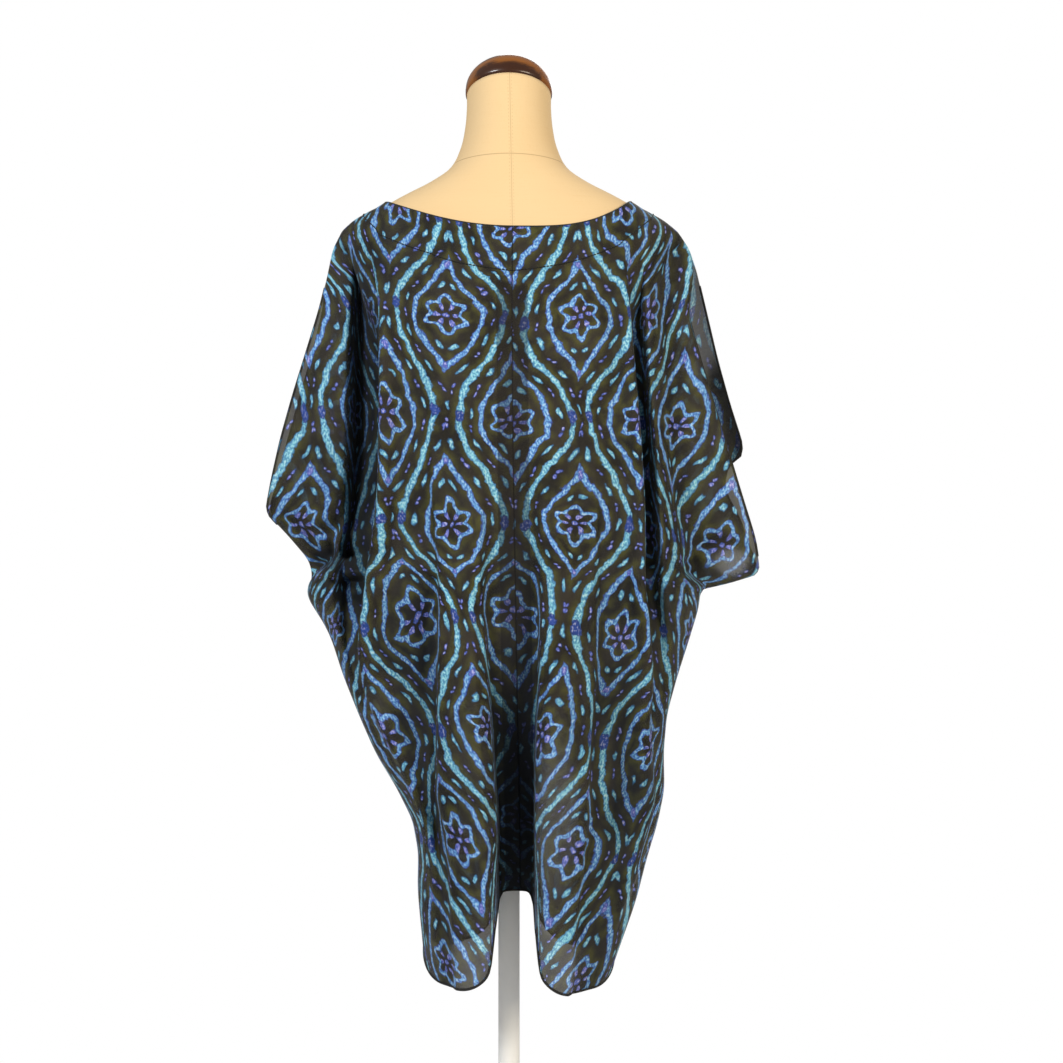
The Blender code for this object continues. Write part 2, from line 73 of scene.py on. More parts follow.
class Side(Enum):
    """A half of the garment, as one looks at its back."""

    LEFT = -1
    RIGHT = 1


class Face(Enum):
    """The garment's back or front."""

    BACK = -1
    FRONT = 1


@dataclass(frozen=True)
class Ring:
    """One section: its height, half width, and depth behind and before the axis."""

    z: float
    half: float
    back: float
    front: float


@dataclass(frozen=True)
class Course:
    """One row across the cloth: its height at the centre and its outer edges."""

    centre_z: float
    left_x: float
    left_z: float
    right_x: float
    right_front_x: float
    right_z: float
    gap: float


@dataclass(frozen=True)
class FoldLine:
    """One fold down a half: its column, and its widths and depths at the key courses."""

    column: int
    left: tuple[float, ...]
    right: tuple[float, ...]
    back_left: tuple[float, ...]
    back_right: tuple[float, ...]
    front: tuple[float, ...]


@dataclass(frozen=True)
class Crease:
    """One soft crease, with its path as (x, z) points. A trough has a negative rise."""

    path: tuple[tuple[float, float], ...]
    rise: float
    spread: float


@dataclass(frozen=True)
class Patch:
    """An oval of painted shade on the cloth, or of cloth thin to the light where its strength is
    negative.
    """

    x: float
    z: float
    wide: float
    high: float
    strength: float

    def over(self, places: np.ndarray) -> np.ndarray:
        """Read the patch's strength, which fades towards its rim.

        Args:
            places: Places, with their coordinates last.

        Returns:
            The strength at each place.
        """
        across = (places[..., 0] - self.x) / self.wide
        up = (places[..., 2] - self.z) / self.high
        inside = PATCH_RIM * (1 - across**2 - up**2)
        return self.strength * np.clip(inside, 0.0, 1.0)


# The dress form, from its lower end to the top of its neck.
FORM_RINGS = (
    Ring(0.765, 0.146, 0.098, 0.092),
    Ring(0.770, 0.156, 0.107, 0.100),
    Ring(0.790, 0.163, 0.115, 0.104),
    Ring(0.850, 0.165, 0.118, 0.104),
    Ring(0.920, 0.149, 0.100, 0.094),
    Ring(0.990, 0.122, 0.081, 0.084),
    Ring(1.050, 0.130, 0.088, 0.097),
    Ring(1.110, 0.143, 0.098, 0.117),
    Ring(1.150, 0.150, 0.104, 0.123),
    Ring(1.200, 0.159, 0.108, 0.112),
    Ring(1.250, 0.173, 0.107, 0.094),
    Ring(1.280, 0.183, 0.101, 0.082),
    Ring(1.297, 0.187, 0.095, 0.075),
    Ring(1.312, 0.181, 0.088, 0.069),
    Ring(1.325, 0.165, 0.081, 0.065),
    Ring(1.341, 0.141, 0.074, 0.061),
    Ring(1.353, 0.119, 0.068, 0.058),
    Ring(1.365, 0.095, 0.064, 0.056),
    Ring(1.382, 0.070, 0.060, 0.053),
    Ring(1.406, 0.057, 0.055, 0.050),
    Ring(1.430, 0.0515, 0.051, 0.048),
    Ring(1.453, 0.0495, 0.0475, 0.0465),
    Ring(1.468, 0.0495, 0.0462, 0.0462),
)

# The hollow of the hanging cloth, before its folds.
BODY_RINGS = (
    Ring(0.450, 0.110, 0.138, 0.124),
    Ring(0.600, 0.130, 0.138, 0.128),
    Ring(0.750, 0.178, 0.138, 0.132),
    Ring(0.900, 0.205, 0.136, 0.136),
    Ring(1.000, 0.190, 0.132, 0.138),
    Ring(1.100, 0.182, 0.127, 0.138),
    Ring(1.150, 0.180, 0.123, 0.134),
    Ring(1.200, 0.178, 0.118, 0.124),
    Ring(1.250, 0.178, 0.112, 0.100),
    Ring(1.280, 0.186, 0.104, 0.085),
    Ring(1.297, 0.190, 0.098, 0.078),
    Ring(1.312, 0.184, 0.091, 0.072),
    Ring(1.325, 0.168, 0.084, 0.068),
    Ring(1.341, 0.144, 0.077, 0.064),
    Ring(1.353, 0.122, 0.071, 0.061),
)

# From the neckline over the shoulder, the cuff, the underarm and the side seam to the hem.
COURSES = (
    Course(1.300, 0.1455, 1.3405, 0.1435, 0.1435, 1.3415, 0.0),
    Course(1.286, 0.1630, 1.3325, 0.1620, 0.1620, 1.3325, 0.0),
    Course(1.270, 0.1810, 1.3225, 0.1810, 0.1810, 1.3220, 0.0),
    Course(1.254, 0.1960, 1.3090, 0.1990, 0.1990, 1.3075, 0.0),
    Course(1.236, 0.2065, 1.2880, 0.2115, 0.2115, 1.2880, 0.0),
    Course(1.214, 0.2130, 1.2560, 0.2170, 0.2200, 1.2620, 0.0),
    Course(1.180, 0.2205, 1.2150, 0.2073, 0.2333, 1.2150, 0.018),
    Course(1.140, 0.2345, 1.1650, 0.2213, 0.2473, 1.1600, 0.027),
    Course(1.100, 0.2495, 1.1150, 0.2363, 0.2623, 1.1080, 0.031),
    Course(1.060, 0.2635, 1.0650, 0.2523, 0.2790, 1.0560, 0.031),
    Course(1.020, 0.2745, 1.0200, 0.2683, 0.2650, 1.0050, 0.025),
    Course(0.985, 0.2835, 0.9800, 0.2873, 0.2800, 0.9480, 0.014),
    Course(0.958, 0.2585, 0.9520, 0.2950, 0.2950, 0.9080, 0.0),
    Course(0.934, 0.2355, 0.9250, 0.2570, 0.2570, 0.8965, 0.0),
    Course(0.908, 0.2245, 0.8980, 0.2235, 0.2235, 0.8890, 0.0),
    Course(0.880, 0.2225, 0.8660, 0.2203, 0.2203, 0.8660, 0.0),
    Course(0.845, 0.2065, 0.8330, 0.2103, 0.2103, 0.8330, 0.0),
    Course(0.800, 0.1925, 0.7900, 0.1963, 0.1963, 0.7900, 0.0),
    Course(0.755, 0.1745, 0.7450, 0.1840, 0.1840, 0.7450, 0.0),
    Course(0.710, 0.1545, 0.7000, 0.1800, 0.1800, 0.7000, 0.0),
    Course(0.672, 0.1305, 0.6600, 0.1810, 0.1810, 0.6550, 0.0),
    Course(0.640, 0.1115, 0.6220, 0.1730, 0.1730, 0.6150, 0.0),
    Course(0.612, 0.1045, 0.5800, 0.1600, 0.1600, 0.5700, 0.0),
    Course(0.582, 0.1055, 0.5300, 0.1480, 0.1480, 0.5200, 0.0),
    Course(0.543, 0.0985, 0.4515, 0.1225, 0.1225, 0.4470, 0.0),
)
LAST = len(COURSES) - 1
COURSE_SPOTS = tuple(range(LAST + 1))

# The courses where the cuff opens and closes, the sides join and the hem's shape starts.
CUFF_TOP = 5
CUFF_END = 12
SIDE_SEAM = 14
HEM_STARTS = 17

# The folds down a half, from the centre seam outwards, read at these courses.
KEY_COURSES = (0, 3, 6, 10, 14, 17, 20, 24)
LINES = (
    FoldLine(
        0,
        left=(0.0, 0.0, 0.0, 0.0, 0.0, 0.0, 0.0, 0.0),
        right=(0.0, 0.0, 0.0, 0.0, 0.0, 0.0, 0.0, 0.0),
        back_left=(0.0, 0.0, 0.0, -0.006, -0.012, -0.015, -0.058, -0.1),
        back_right=(0.0, 0.0, 0.0, -0.006, -0.012, -0.015, -0.058, -0.1),
        front=(0.0, 0.0, 0.0, -0.003, -0.008, -0.012, -0.032, -0.05),
    ),
    FoldLine(
        2,
        left=(0.012, 0.014, 0.015, 0.02, 0.03, 0.029, 0.0235, 0.0225),
        right=(0.01, 0.012, 0.014, 0.018, 0.024, 0.0245, 0.0185, 0.018),
        back_left=(0.0, 0.0, 0.0, -0.005, -0.011, -0.014, -0.055, -0.096),
        back_right=(0.0, 0.0, 0.0, -0.005, -0.011, -0.014, -0.055, -0.096),
        front=(0.0, 0.0, 0.0, -0.002, -0.007, -0.011, -0.03, -0.047),
    ),
    FoldLine(
        4,
        left=(0.03, 0.034, 0.036, 0.038, 0.039, 0.033, 0.026, 0.0255),
        right=(0.03, 0.034, 0.036, 0.036, 0.033, 0.0285, 0.021, 0.021),
        back_left=(0.0, 0.0, 0.0, 0.002, 0.007, 0.014, 0.006, -0.002),
        back_right=(0.0, 0.0, 0.0, 0.002, 0.007, 0.014, 0.006, -0.002),
        front=(0.0, 0.0, 0.0, 0.001, 0.003, 0.004, 0.002, -0.002),
    ),
    FoldLine(
        6,
        left=(0.05, 0.06, 0.062, 0.056, 0.05, 0.044, 0.038, 0.037),
        right=(0.05, 0.06, 0.062, 0.054, 0.046, 0.041, 0.034, 0.032),
        back_left=(0.0, 0.0, 0.0, 0.005, 0.014, 0.026, 0.024, 0.012),
        back_right=(0.0, 0.0, 0.0, 0.005, 0.014, 0.026, 0.024, 0.012),
        front=(0.0, 0.0, 0.0, 0.003, 0.008, 0.012, 0.014, 0.012),
    ),
    FoldLine(
        9,
        left=(0.072, 0.084, 0.088, 0.086, 0.079, 0.08, 0.08, 0.062),
        right=(0.072, 0.084, 0.088, 0.092, 0.09, 0.088, 0.08, 0.06),
        back_left=(0.0, 0.0, 0.0, 0.002, 0.01, 0.015, 0.015, 0.01),
        back_right=(0.0, 0.0, 0.0, 0.001, 0.005, 0.011, 0.015, 0.012),
        front=(0.0, 0.0, 0.0, 0.002, 0.006, 0.01, 0.013, 0.012),
    ),
    FoldLine(
        10,
        left=(0.076, 0.089, 0.094, 0.092, 0.083, 0.084, 0.085, 0.066),
        right=(0.076, 0.089, 0.094, 0.098, 0.097, 0.096, 0.088, 0.066),
        back_left=(0.0, 0.0, -0.001, -0.004, -0.006, -0.006, -0.003, 0.002),
        back_right=(0.0, 0.0, -0.001, -0.003, -0.004, -0.003, -0.003, 0.002),
        front=(0.0, 0.0, 0.0, 0.0, -0.001, -0.001, 0.0, 0.002),
    ),
    FoldLine(
        12,
        left=(0.094, 0.118, 0.12, 0.122, 0.126, 0.126, 0.096, 0.074),
        right=(0.094, 0.108, 0.114, 0.124, 0.126, 0.134, 0.132, 0.088),
        back_left=(0.0, 0.0, -0.002, -0.006, -0.009, -0.01, -0.01, -0.001),
        back_right=(0.0, 0.0, -0.002, -0.005, -0.007, -0.008, -0.01, -0.002),
        front=(0.0, 0.0, -0.002, -0.004, -0.006, -0.008, -0.008, -0.002),
    ),
    FoldLine(
        14,
        left=(0.112, 0.152, 0.1445, 0.1455, 0.158, 0.164, 0.108, 0.082),
        right=(0.112, 0.126, 0.1345, 0.1465, 0.148, 0.158, 0.163, 0.104),
        back_left=(0.0, 0.002, 0.012, 0.016, 0.013, 0.008, 0.004, 0.0),
        back_right=(0.0, 0.002, 0.01, 0.012, 0.011, 0.008, 0.006, 0.0),
        front=(0.0, 0.002, 0.006, 0.008, 0.008, 0.006, 0.004, 0.0),
    ),
    FoldLine(
        15,
        left=(0.116, 0.156, 0.1475, 0.1485, 0.161, 0.1665, 0.1105, 0.085),
        right=(0.1155, 0.129, 0.137, 0.149, 0.1505, 0.1605, 0.1655, 0.107),
        back_left=(0.0, 0.001, 0.004, 0.006, 0.004, 0.003, 0.002, 0.0),
        back_right=(0.0, 0.001, 0.003, 0.004, 0.003, 0.003, 0.003, 0.0),
        front=(0.0, 0.001, 0.002, 0.003, 0.003, 0.002, 0.002, 0.0),
    ),
    FoldLine(
        16,
        left=(0.119, 0.156, 0.1395, 0.1405, 0.153, 0.166, 0.113, 0.0875),
        right=(0.118, 0.13, 0.1315, 0.1435, 0.145, 0.16, 0.1665, 0.11),
        back_left=(0.0, -0.001, -0.02, -0.026, -0.018, -0.006, 0.0, 0.0),
        back_right=(0.0, -0.001, -0.014, -0.018, -0.014, -0.006, 0.0, 0.0),
        front=(0.0, -0.001, -0.01, -0.014, -0.01, -0.004, 0.0, 0.0),
    ),
    FoldLine(
        17,
        left=(0.122, 0.158, 0.1415, 0.1425, 0.155, 0.168, 0.115, 0.0895),
        right=(0.121, 0.133, 0.1325, 0.1445, 0.146, 0.162, 0.168, 0.1125),
        back_left=(0.0, -0.003, -0.046, -0.06, -0.042, -0.012, -0.002, 0.0),
        back_right=(0.0, -0.002, -0.034, -0.046, -0.036, -0.012, -0.004, 0.0),
        front=(0.0, -0.002, -0.024, -0.034, -0.022, -0.008, -0.003, 0.0),
    ),
    FoldLine(
        19,
        left=(0.131, 0.169, 0.176, 0.180, 0.189, 0.176, 0.12, 0.093),
        right=(0.129, 0.145, 0.147, 0.159, 0.163, 0.171, 0.1705, 0.1155),
        back_left=(0.0, -0.003, -0.044, -0.056, -0.04, -0.01, -0.002, 0.0),
        back_right=(0.0, -0.002, -0.026, -0.036, -0.03, -0.01, -0.004, 0.0),
        front=(0.0, -0.002, -0.02, -0.028, -0.018, -0.006, -0.002, 0.0),
    ),
    FoldLine(
        21,
        left=(0.138, 0.178, 0.187, 0.192, 0.202, 0.182, 0.1245, 0.0955),
        right=(0.136, 0.16, 0.157, 0.168, 0.176, 0.185, 0.1735, 0.1185),
        back_left=(0.0, 0.0, 0.002, 0.006, 0.004, 0.0, 0.0, 0.0),
        back_right=(0.0, 0.0, 0.006, 0.01, 0.005, 0.0, 0.0, 0.0),
        front=(0.0, 0.0, 0.003, 0.006, 0.004, 0.0, 0.0, 0.0),
    ),
)
COLUMNS = 26

# A crease fades over a third of its length at each end, and widens down its path.
CREASE_FADES = 3.0
CREASE_NARROW = 0.8
CREASE_WIDE = 1.3

# Creases of the back as the photograph shows them, and plausible ones for the front.
CREASES: dict[tuple[Side, Face], tuple[Crease, ...]] = {
    (Side.LEFT, Face.BACK): (
        Crease(((-0.128, 1.290), (-0.122, 1.220), (-0.118, 1.130)), 0.0030, 0.010),
        Crease(((-0.108, 1.270), (-0.102, 1.180), (-0.104, 1.060)), -0.0028, 0.009),
        Crease(((-0.278, 0.996), (-0.232, 0.950), (-0.212, 0.905)), -0.0075, 0.0075),
        Crease(((-0.262, 0.962), (-0.225, 0.965), (-0.190, 0.990)), 0.0060, 0.008),
        Crease(((-0.236, 0.950), (-0.200, 0.945), (-0.165, 0.965)), 0.0080, 0.006),
        Crease(((-0.230, 0.932), (-0.190, 0.925), (-0.158, 0.940)), -0.0085, 0.0055),
        Crease(((-0.258, 0.902), (-0.205, 0.900), (-0.140, 0.899)), -0.0150, 0.0048),
        Crease(((-0.258, 0.910), (-0.200, 0.910), (-0.140, 0.912)), 0.0120, 0.0050),
        Crease(((-0.216, 0.950), (-0.190, 0.931), (-0.162, 0.922)), -0.0110, 0.0042),
        Crease(((-0.228, 0.936), (-0.196, 0.920), (-0.160, 0.918)), 0.0080, 0.0040),
        Crease(((-0.224, 0.896), (-0.186, 0.880), (-0.152, 0.872)), -0.0065, 0.006),
        Crease(((-0.222, 0.885), (-0.180, 0.850), (-0.150, 0.790)), 0.0055, 0.007),
        Crease(((-0.214, 0.866), (-0.190, 0.815), (-0.164, 0.750)), -0.0055, 0.008),
        Crease(((-0.072, 0.925), (-0.073, 0.830), (-0.072, 0.740)), 0.0050, 0.006),
        Crease(((-0.085, 0.925), (-0.087, 0.830), (-0.087, 0.740)), -0.0080, 0.007),
        Crease(((-0.082, 0.790), (-0.090, 0.700), (-0.094, 0.560)), 0.0050, 0.006),
        Crease(((-0.072, 0.780), (-0.078, 0.700), (-0.080, 0.540)), -0.0040, 0.008),
        Crease(((-0.060, 1.130), (-0.055, 1.010), (-0.058, 0.880)), -0.0038, 0.011),
        Crease(((-0.038, 1.060), (-0.030, 0.960), (-0.030, 0.840)), 0.0035, 0.009),
        Crease(((-0.044, 0.860), (-0.034, 0.760), (-0.028, 0.640)), 0.0050, 0.007),
        Crease(((-0.170, 0.800), (-0.125, 0.735), (-0.105, 0.700)), -0.0055, 0.008),
        Crease(((-0.150, 0.830), (-0.115, 0.770), (-0.098, 0.735)), 0.0045, 0.008),
        Crease(((-0.125, 0.700), (-0.104, 0.640), (-0.092, 0.600)), 0.0035, 0.007),
        Crease(((-0.060, 0.660), (-0.066, 0.560), (-0.058, 0.480)), -0.0035, 0.011),
        Crease(((-0.230, 1.200), (-0.208, 1.120), (-0.196, 1.030)), 0.0045, 0.010),
        Crease(((-0.246, 1.140), (-0.228, 1.060), (-0.220, 1.000)), -0.0040, 0.009),
    ),
    (Side.RIGHT, Face.BACK): (
        Crease(((0.110, 1.270), (0.118, 1.180), (0.124, 1.080)), -0.0032, 0.009),
        Crease(((0.092, 1.250), (0.098, 1.150), (0.106, 1.040)), 0.0026, 0.010),
        Crease(((0.176, 1.290), (0.182, 1.220), (0.186, 1.130)), -0.0035, 0.009),
        Crease(((0.285, 0.932), (0.245, 0.948), (0.205, 0.934)), -0.0065, 0.008),
        Crease(((0.262, 0.912), (0.220, 0.928), (0.180, 0.960)), 0.0065, 0.008),
        Crease(((0.232, 0.890), (0.200, 0.897), (0.168, 0.920)), -0.0075, 0.006),
        Crease(((0.224, 0.874), (0.196, 0.866), (0.170, 0.874)), 0.0060, 0.006),
        Crease(((0.218, 0.862), (0.192, 0.825), (0.170, 0.765)), -0.0050, 0.007),
        Crease(((0.048, 0.900), (0.038, 0.820), (0.036, 0.700)), 0.0050, 0.007),
        Crease(((0.070, 1.110), (0.082, 1.000), (0.096, 0.880)), -0.0036, 0.011),
        Crease(((0.052, 1.020), (0.060, 0.930), (0.070, 0.840)), 0.0032, 0.009),
        Crease(((0.084, 0.860), (0.080, 0.760), (0.072, 0.660)), -0.0040, 0.010),
        Crease(((0.134, 0.790), (0.126, 0.680), (0.100, 0.560)), -0.0075, 0.008),
        Crease(((0.116, 0.760), (0.108, 0.650), (0.086, 0.540)), 0.0055, 0.008),
        Crease(((0.182, 0.800), (0.172, 0.700), (0.154, 0.620)), -0.0050, 0.008),
        Crease(((0.160, 0.760), (0.150, 0.680), (0.132, 0.600)), 0.0045, 0.008),
        Crease(((0.055, 0.640), (0.062, 0.560), (0.060, 0.490)), -0.0035, 0.011),
        Crease(((0.225, 1.190), (0.212, 1.100), (0.205, 1.010)), 0.0045, 0.010),
        Crease(((0.244, 1.130), (0.232, 1.050), (0.226, 0.990)), -0.0040, 0.009),
    ),
    (Side.LEFT, Face.FRONT): (
        Crease(((-0.118, 1.285), (-0.124, 1.200), (-0.120, 1.090)), -0.0035, 0.008),
        Crease(((-0.240, 0.950), (-0.200, 0.940), (-0.165, 0.955)), 0.0045, 0.007),
        Crease(((-0.226, 0.920), (-0.190, 0.910), (-0.158, 0.920)), -0.0045, 0.007),
        Crease(((-0.220, 0.885), (-0.180, 0.845), (-0.150, 0.780)), 0.0032, 0.009),
        Crease(((-0.085, 1.080), (-0.082, 0.960), (-0.070, 0.840)), -0.0028, 0.012),
        Crease(((-0.045, 0.940), (-0.050, 0.830), (-0.044, 0.700)), 0.0026, 0.009),
        Crease(((-0.110, 0.800), (-0.096, 0.690), (-0.080, 0.560)), -0.0032, 0.008),
        Crease(((-0.225, 1.180), (-0.205, 1.100), (-0.194, 1.010)), 0.0022, 0.012),
    ),
    (Side.RIGHT, Face.FRONT): (
        Crease(((0.122, 1.285), (0.130, 1.190), (0.126, 1.100)), -0.0035, 0.008),
        Crease(((0.262, 0.905), (0.215, 0.925), (0.176, 0.945)), 0.0045, 0.007),
        Crease(((0.232, 0.888), (0.200, 0.895), (0.165, 0.910)), -0.0045, 0.007),
        Crease(((0.216, 0.860), (0.190, 0.820), (0.168, 0.750)), 0.0032, 0.009),
        Crease(((0.080, 1.060), (0.090, 0.950), (0.092, 0.830)), -0.0028, 0.012),
        Crease(((0.048, 0.900), (0.040, 0.790), (0.044, 0.660)), 0.0026, 0.009),
        Crease(((0.128, 0.780), (0.118, 0.680), (0.094, 0.560)), -0.0032, 0.008),
        Crease(((0.240, 1.170), (0.222, 1.080), (0.210, 0.990)), 0.0022, 0.012),
    ),
}

# Painted shade where the gathered underarm lies in shade and where the front panel shows past the
# right cuff, which also makes the cloth more opaque, and thinner cloth where light comes through a
# single layer.
PATCH_RIM = 1.8
PATCHES: dict[tuple[Side, Face], tuple[Patch, ...]] = {
    (Side.LEFT, Face.BACK): (
        Patch(-0.188, 0.924, 0.050, 0.019, 0.95),
        Patch(-0.060, 0.600, 0.026, 0.120, -0.12),
        Patch(-0.143, 0.765, 0.024, 0.046, -0.52),
    ),
    (Side.RIGHT, Face.BACK): (
        Patch(0.262, 0.922, 0.025, 0.021, -0.60),
        Patch(0.056, 0.620, 0.034, 0.120, -0.36),
    ),
    (Side.LEFT, Face.FRONT): (Patch(-0.143, 0.765, 0.024, 0.046, -0.52),),
    (Side.RIGHT, Face.FRONT): (
        Patch(0.262, 0.922, 0.025, 0.021, -0.60),
        Patch(0.056, 0.620, 0.034, 0.120, -0.36),
        Patch(0.258, 1.090, 0.036, 0.090, 0.34),
    ),
}


def smooth_between(keys: tuple[float, ...], values: tuple[float, ...], at: float) -> float:
    """Read a smooth curve through a table whose keys rise.

    Args:
        keys: Where the table's rows are.
        values: The row's values.
        at: Where the curve is read.

    Returns:
        The value there.
    """
    if at <= keys[0]:
        return values[0]
    if at >= keys[-1]:
        return values[-1]
    i = bisect_right(keys, at) - 1
    before, after = max(i - 1, 0), min(i + 2, len(keys) - 1)
    slope = (values[i + 1] - values[before]) / (keys[i + 1] - keys[before])
    next_slope = (values[after] - values[i]) / (keys[after] - keys[i])
    span = keys[i + 1] - keys[i]
    q = (at - keys[i]) / span
    return (
        values[i] * (1 - q) ** 2 * (1 + 2 * q)
        + values[i + 1] * q * q * (3 - 2 * q)
        + span * q * (1 - q) * ((1 - q) * slope - q * next_slope)
    )


def ramp(value: float, start: float, end: float) -> float:
    """Ease from 0 at the start to 1 at the end, which may be the lower of the two."""
    q = min(max((value - start) / (end - start), 0.0), 1.0)
    return q * q * (3 - 2 * q)


def arc(fraction: float, power: float) -> float:
    """Read the quarter of a rounded ring: 1 at its middle, 0 at its side."""
    return max(0.0, 1.0 - abs(fraction) ** power) ** (1.0 / power)


class Sections:
    """Sizes at any height of a table of rings."""

    def __init__(self, rings: tuple[Ring, ...]) -> None:
        """Keep the table's columns.

        Args:
            rings: The rings, from the lowest up.
        """
        self.z = tuple(ring.z for ring in rings)
        self.half_width = tuple(ring.half for ring in rings)
        self.back = tuple(ring.back for ring in rings)
        self.front = tuple(ring.front for ring in rings)

    def half(self, z: float) -> float:
        """Read the half width at a height."""
        return smooth_between(self.z, self.half_width, z)

    def depth(self, face: Face, z: float) -> float:
        """Read the depth behind or before the axis at a height."""
        return smooth_between(self.z, self.back if face is Face.BACK else self.front, z)


@dataclass(frozen=True)
class Row:
    """The sizes of one row across a panel, read once from the tables."""

    course: float
    edge_x: float
    edge_z: float
    centre_z: float
    gap: float
    widths: tuple[float, ...]
    depths: tuple[float, ...]


@dataclass
class Drape:
    """The hanging shape of the kaftan, from the same tables as its solids.

    Places down the cloth are counted in courses, and widths as shares of a panel's own.
    """

    last_line_reach: float = 0.955
    front_neck_drop: float = 0.026
    front_neck_ends: float = 8
    front_hem_rise: float = 0.034
    front_hem_starts: float = 19
    right_neck_power: float = 1.3
    right_neck_ends: float = 4
    hem_slot: float = 0.0245
    hem_slot_x: float = 0.0085
    hem_slot_power: int = 8
    inner_corner: float = 0.42
    inner_from: float = 2.6
    inner_to: float = 1.0
    inner_power: float = 2.0
    outer_corner: float = 0.32
    outer_from: float = 0.72
    outer_power: float = 2.4
    soft_corner: float = 0.20
    corner_shares: tuple[float, ...] = (-1.0, -0.4, 0.4, 1.0)
    plain_end: float = 0.5
    cuff_fold: float = 0.013
    cuff_fold_in: tuple[float, float] = (9.1, 9.45)
    cuff_fold_out: tuple[float, float] = (9.6, 10.8)
    hip_bulge: float = 0.0105
    hip_z: float = 0.886
    hip_spread: float = 0.019
    seam_top_x: float = 0.005
    seam_low_x: float = 0.014
    seam_turns_z: tuple[float, float] = (1.20, 0.50)
    sleeve_depth: float = 0.022
    sleeve_opens: tuple[float, float] = (2.5, 6.0)
    sleeve_closes: tuple[float, float] = (12.0, 14.0)
    sleeve_power: float = 3.0
    leaves_form: tuple[float, float] = (3.0, 5.0)
    body_power: float = 2.7
    body_squares_z: tuple[float, float] = (1.28, 1.15)
    edge_joins: tuple[float, float] = (0.9, 1.0)
    blend: int = 3
    body: Sections = field(default_factory=lambda: Sections(BODY_RINGS))

    def seam_x(self, z: float) -> float:
        """Find where the centre seam runs at a height."""
        return self.seam_top_x + (self.seam_low_x - self.seam_top_x) * ramp(z, *self.seam_turns_z)

    def row(self, side: Side, face: Face, course: float) -> Row:
        """Read the tables for one row.

        Args:
            side: The half of the garment.
            face: Its back or front.
            course: The row's place down the cloth, which may lie between two courses.

        Returns:
            The row's sizes.
        """
        width_name = side.name.lower()
        depth_name = "front" if face is Face.FRONT else "back_" + width_name
        edge_x = self.edge_x(side, face, course)
        heights = tuple(c.centre_z for c in COURSES)
        centre_z = smooth_between(COURSE_SPOTS, heights, course)
        if face is Face.FRONT:
            centre_z -= self.front_neck_drop * (1 - ramp(course, 0, self.front_neck_ends))
            centre_z += self.front_hem_rise * ramp(course, self.front_hem_starts, LAST)
        widths = [smooth_between(KEY_COURSES, getattr(f, width_name), course) for f in LINES]
        fit = min(1.0, self.last_line_reach * edge_x / widths[-1])
        return Row(
            course=course,
            edge_x=edge_x,
            edge_z=self.outline(width_name + "_z", course),
            centre_z=centre_z,
            gap=self.outline("gap", course),
            widths=tuple(width * fit for width in widths),
            depths=tuple(
                smooth_between(KEY_COURSES, getattr(f, depth_name), course) for f in LINES
            ),
        )

    def outline(self, name: str, course: float) -> float:
        """Read a column of the courses, straight between them and soft at their corners.

        Args:
            name: The column's name.
            course: The place down the cloth.

        Returns:
            The value there.
        """
        values = tuple(getattr(c, name) for c in COURSES)
        if course < self.plain_end or course > LAST - self.plain_end:
            return float(np.interp(course, COURSE_SPOTS, values))
        spots = [course + share * self.soft_corner for share in self.corner_shares]
        return float(np.interp(spots, COURSE_SPOTS, values).mean())

    def edge_x(self, side: Side, face: Face, course: float) -> float:
        """Find how far a panel's outer edge lies from the axis.

        Args:
            side: The half of the garment.
            face: Its back or front.
            course: The place down the cloth.

        Returns:
            The distance.
        """
        if side is Side.LEFT:
            from_hip = (self.outline("left_z", course) - self.hip_z) / self.hip_spread
            return self.outline("left_x", course) + self.hip_bulge * math.exp(-(from_hip**2))
        if face is Face.BACK:
            return self.outline("right_x", course)
        folded = ramp(course, *self.cuff_fold_in) * (1 - ramp(course, *self.cuff_fold_out))
        return self.outline("right_front_x", course) - self.cuff_fold * folded

    def fold(self, row: Row, across: float) -> tuple[float, float]:
        """Find the width from the axis and the fold's depth between two fold lines.

        Args:
            row: The row's sizes.
            across: From 0 at the centre seam to 1 at the outer edge.

        Returns:
            The width and the depth, in metres.
        """
        spot = across * COLUMNS
        last = LINES[-1].column
        if spot >= last:
            q = (spot - last) / (COLUMNS - last)
            width = row.widths[-1] + (row.edge_x - row.widths[-1]) * math.sin(q * math.pi / 2)
            return width, row.depths[-1] * (1 - ramp(q, 0, 1))
        k = max(i for i in range(len(LINES) - 1) if LINES[i].column <= spot)
        q = (spot - LINES[k].column) / (LINES[k + 1].column - LINES[k].column)
        ease = ramp(q, 0, 1)
        width = row.widths[k] + (row.widths[k + 1] - row.widths[k]) * q
        return width, row.depths[k] + (row.depths[k + 1] - row.depths[k]) * ease

    def place(self, side: Side, face: Face, row: Row, across: float) -> Vector:
        """Find a place on the inside of the cloth.

        Args:
            side: The half of the garment.
            face: Its back or front.
            row: The row's sizes.
            across: From 0 at the centre seam to 1 at the outer edge.

        Returns:
            The place, before creases.
        """
        course = row.course
        width, fold = self.fold(row, across)
        reach = width / row.edge_x
        z = row.centre_z + (row.edge_z - row.centre_z) * self.lift(side, face, row, width)

        half = self.body.half(z)
        on_form = 1 - ramp(course, *self.leaves_form)
        on_form *= ramp(reach, *self.edge_joins)
        joined = max(ramp(course, SIDE_SEAM - 1, SIDE_SEAM), on_form)
        half += (row.edge_x - half) * joined
        power = 2.0 + (self.body_power - 2.0) * ramp(z, *self.body_squares_z)
        body = self.body.depth(face, z) * arc(min(width / half, 1.0), power)
        opens = ramp(course, *self.sleeve_opens) * (1 - ramp(course, *self.sleeve_closes))
        sleeve = row.gap + self.sleeve_depth * opens * arc(reach, self.sleeve_power)
        depth = (body**self.blend + sleeve**self.blend) ** (1 / self.blend)
        x = side.value * width + self.seam_x(z) * (1 - reach)
        return Vector((x, face.value * (depth + fold), z))

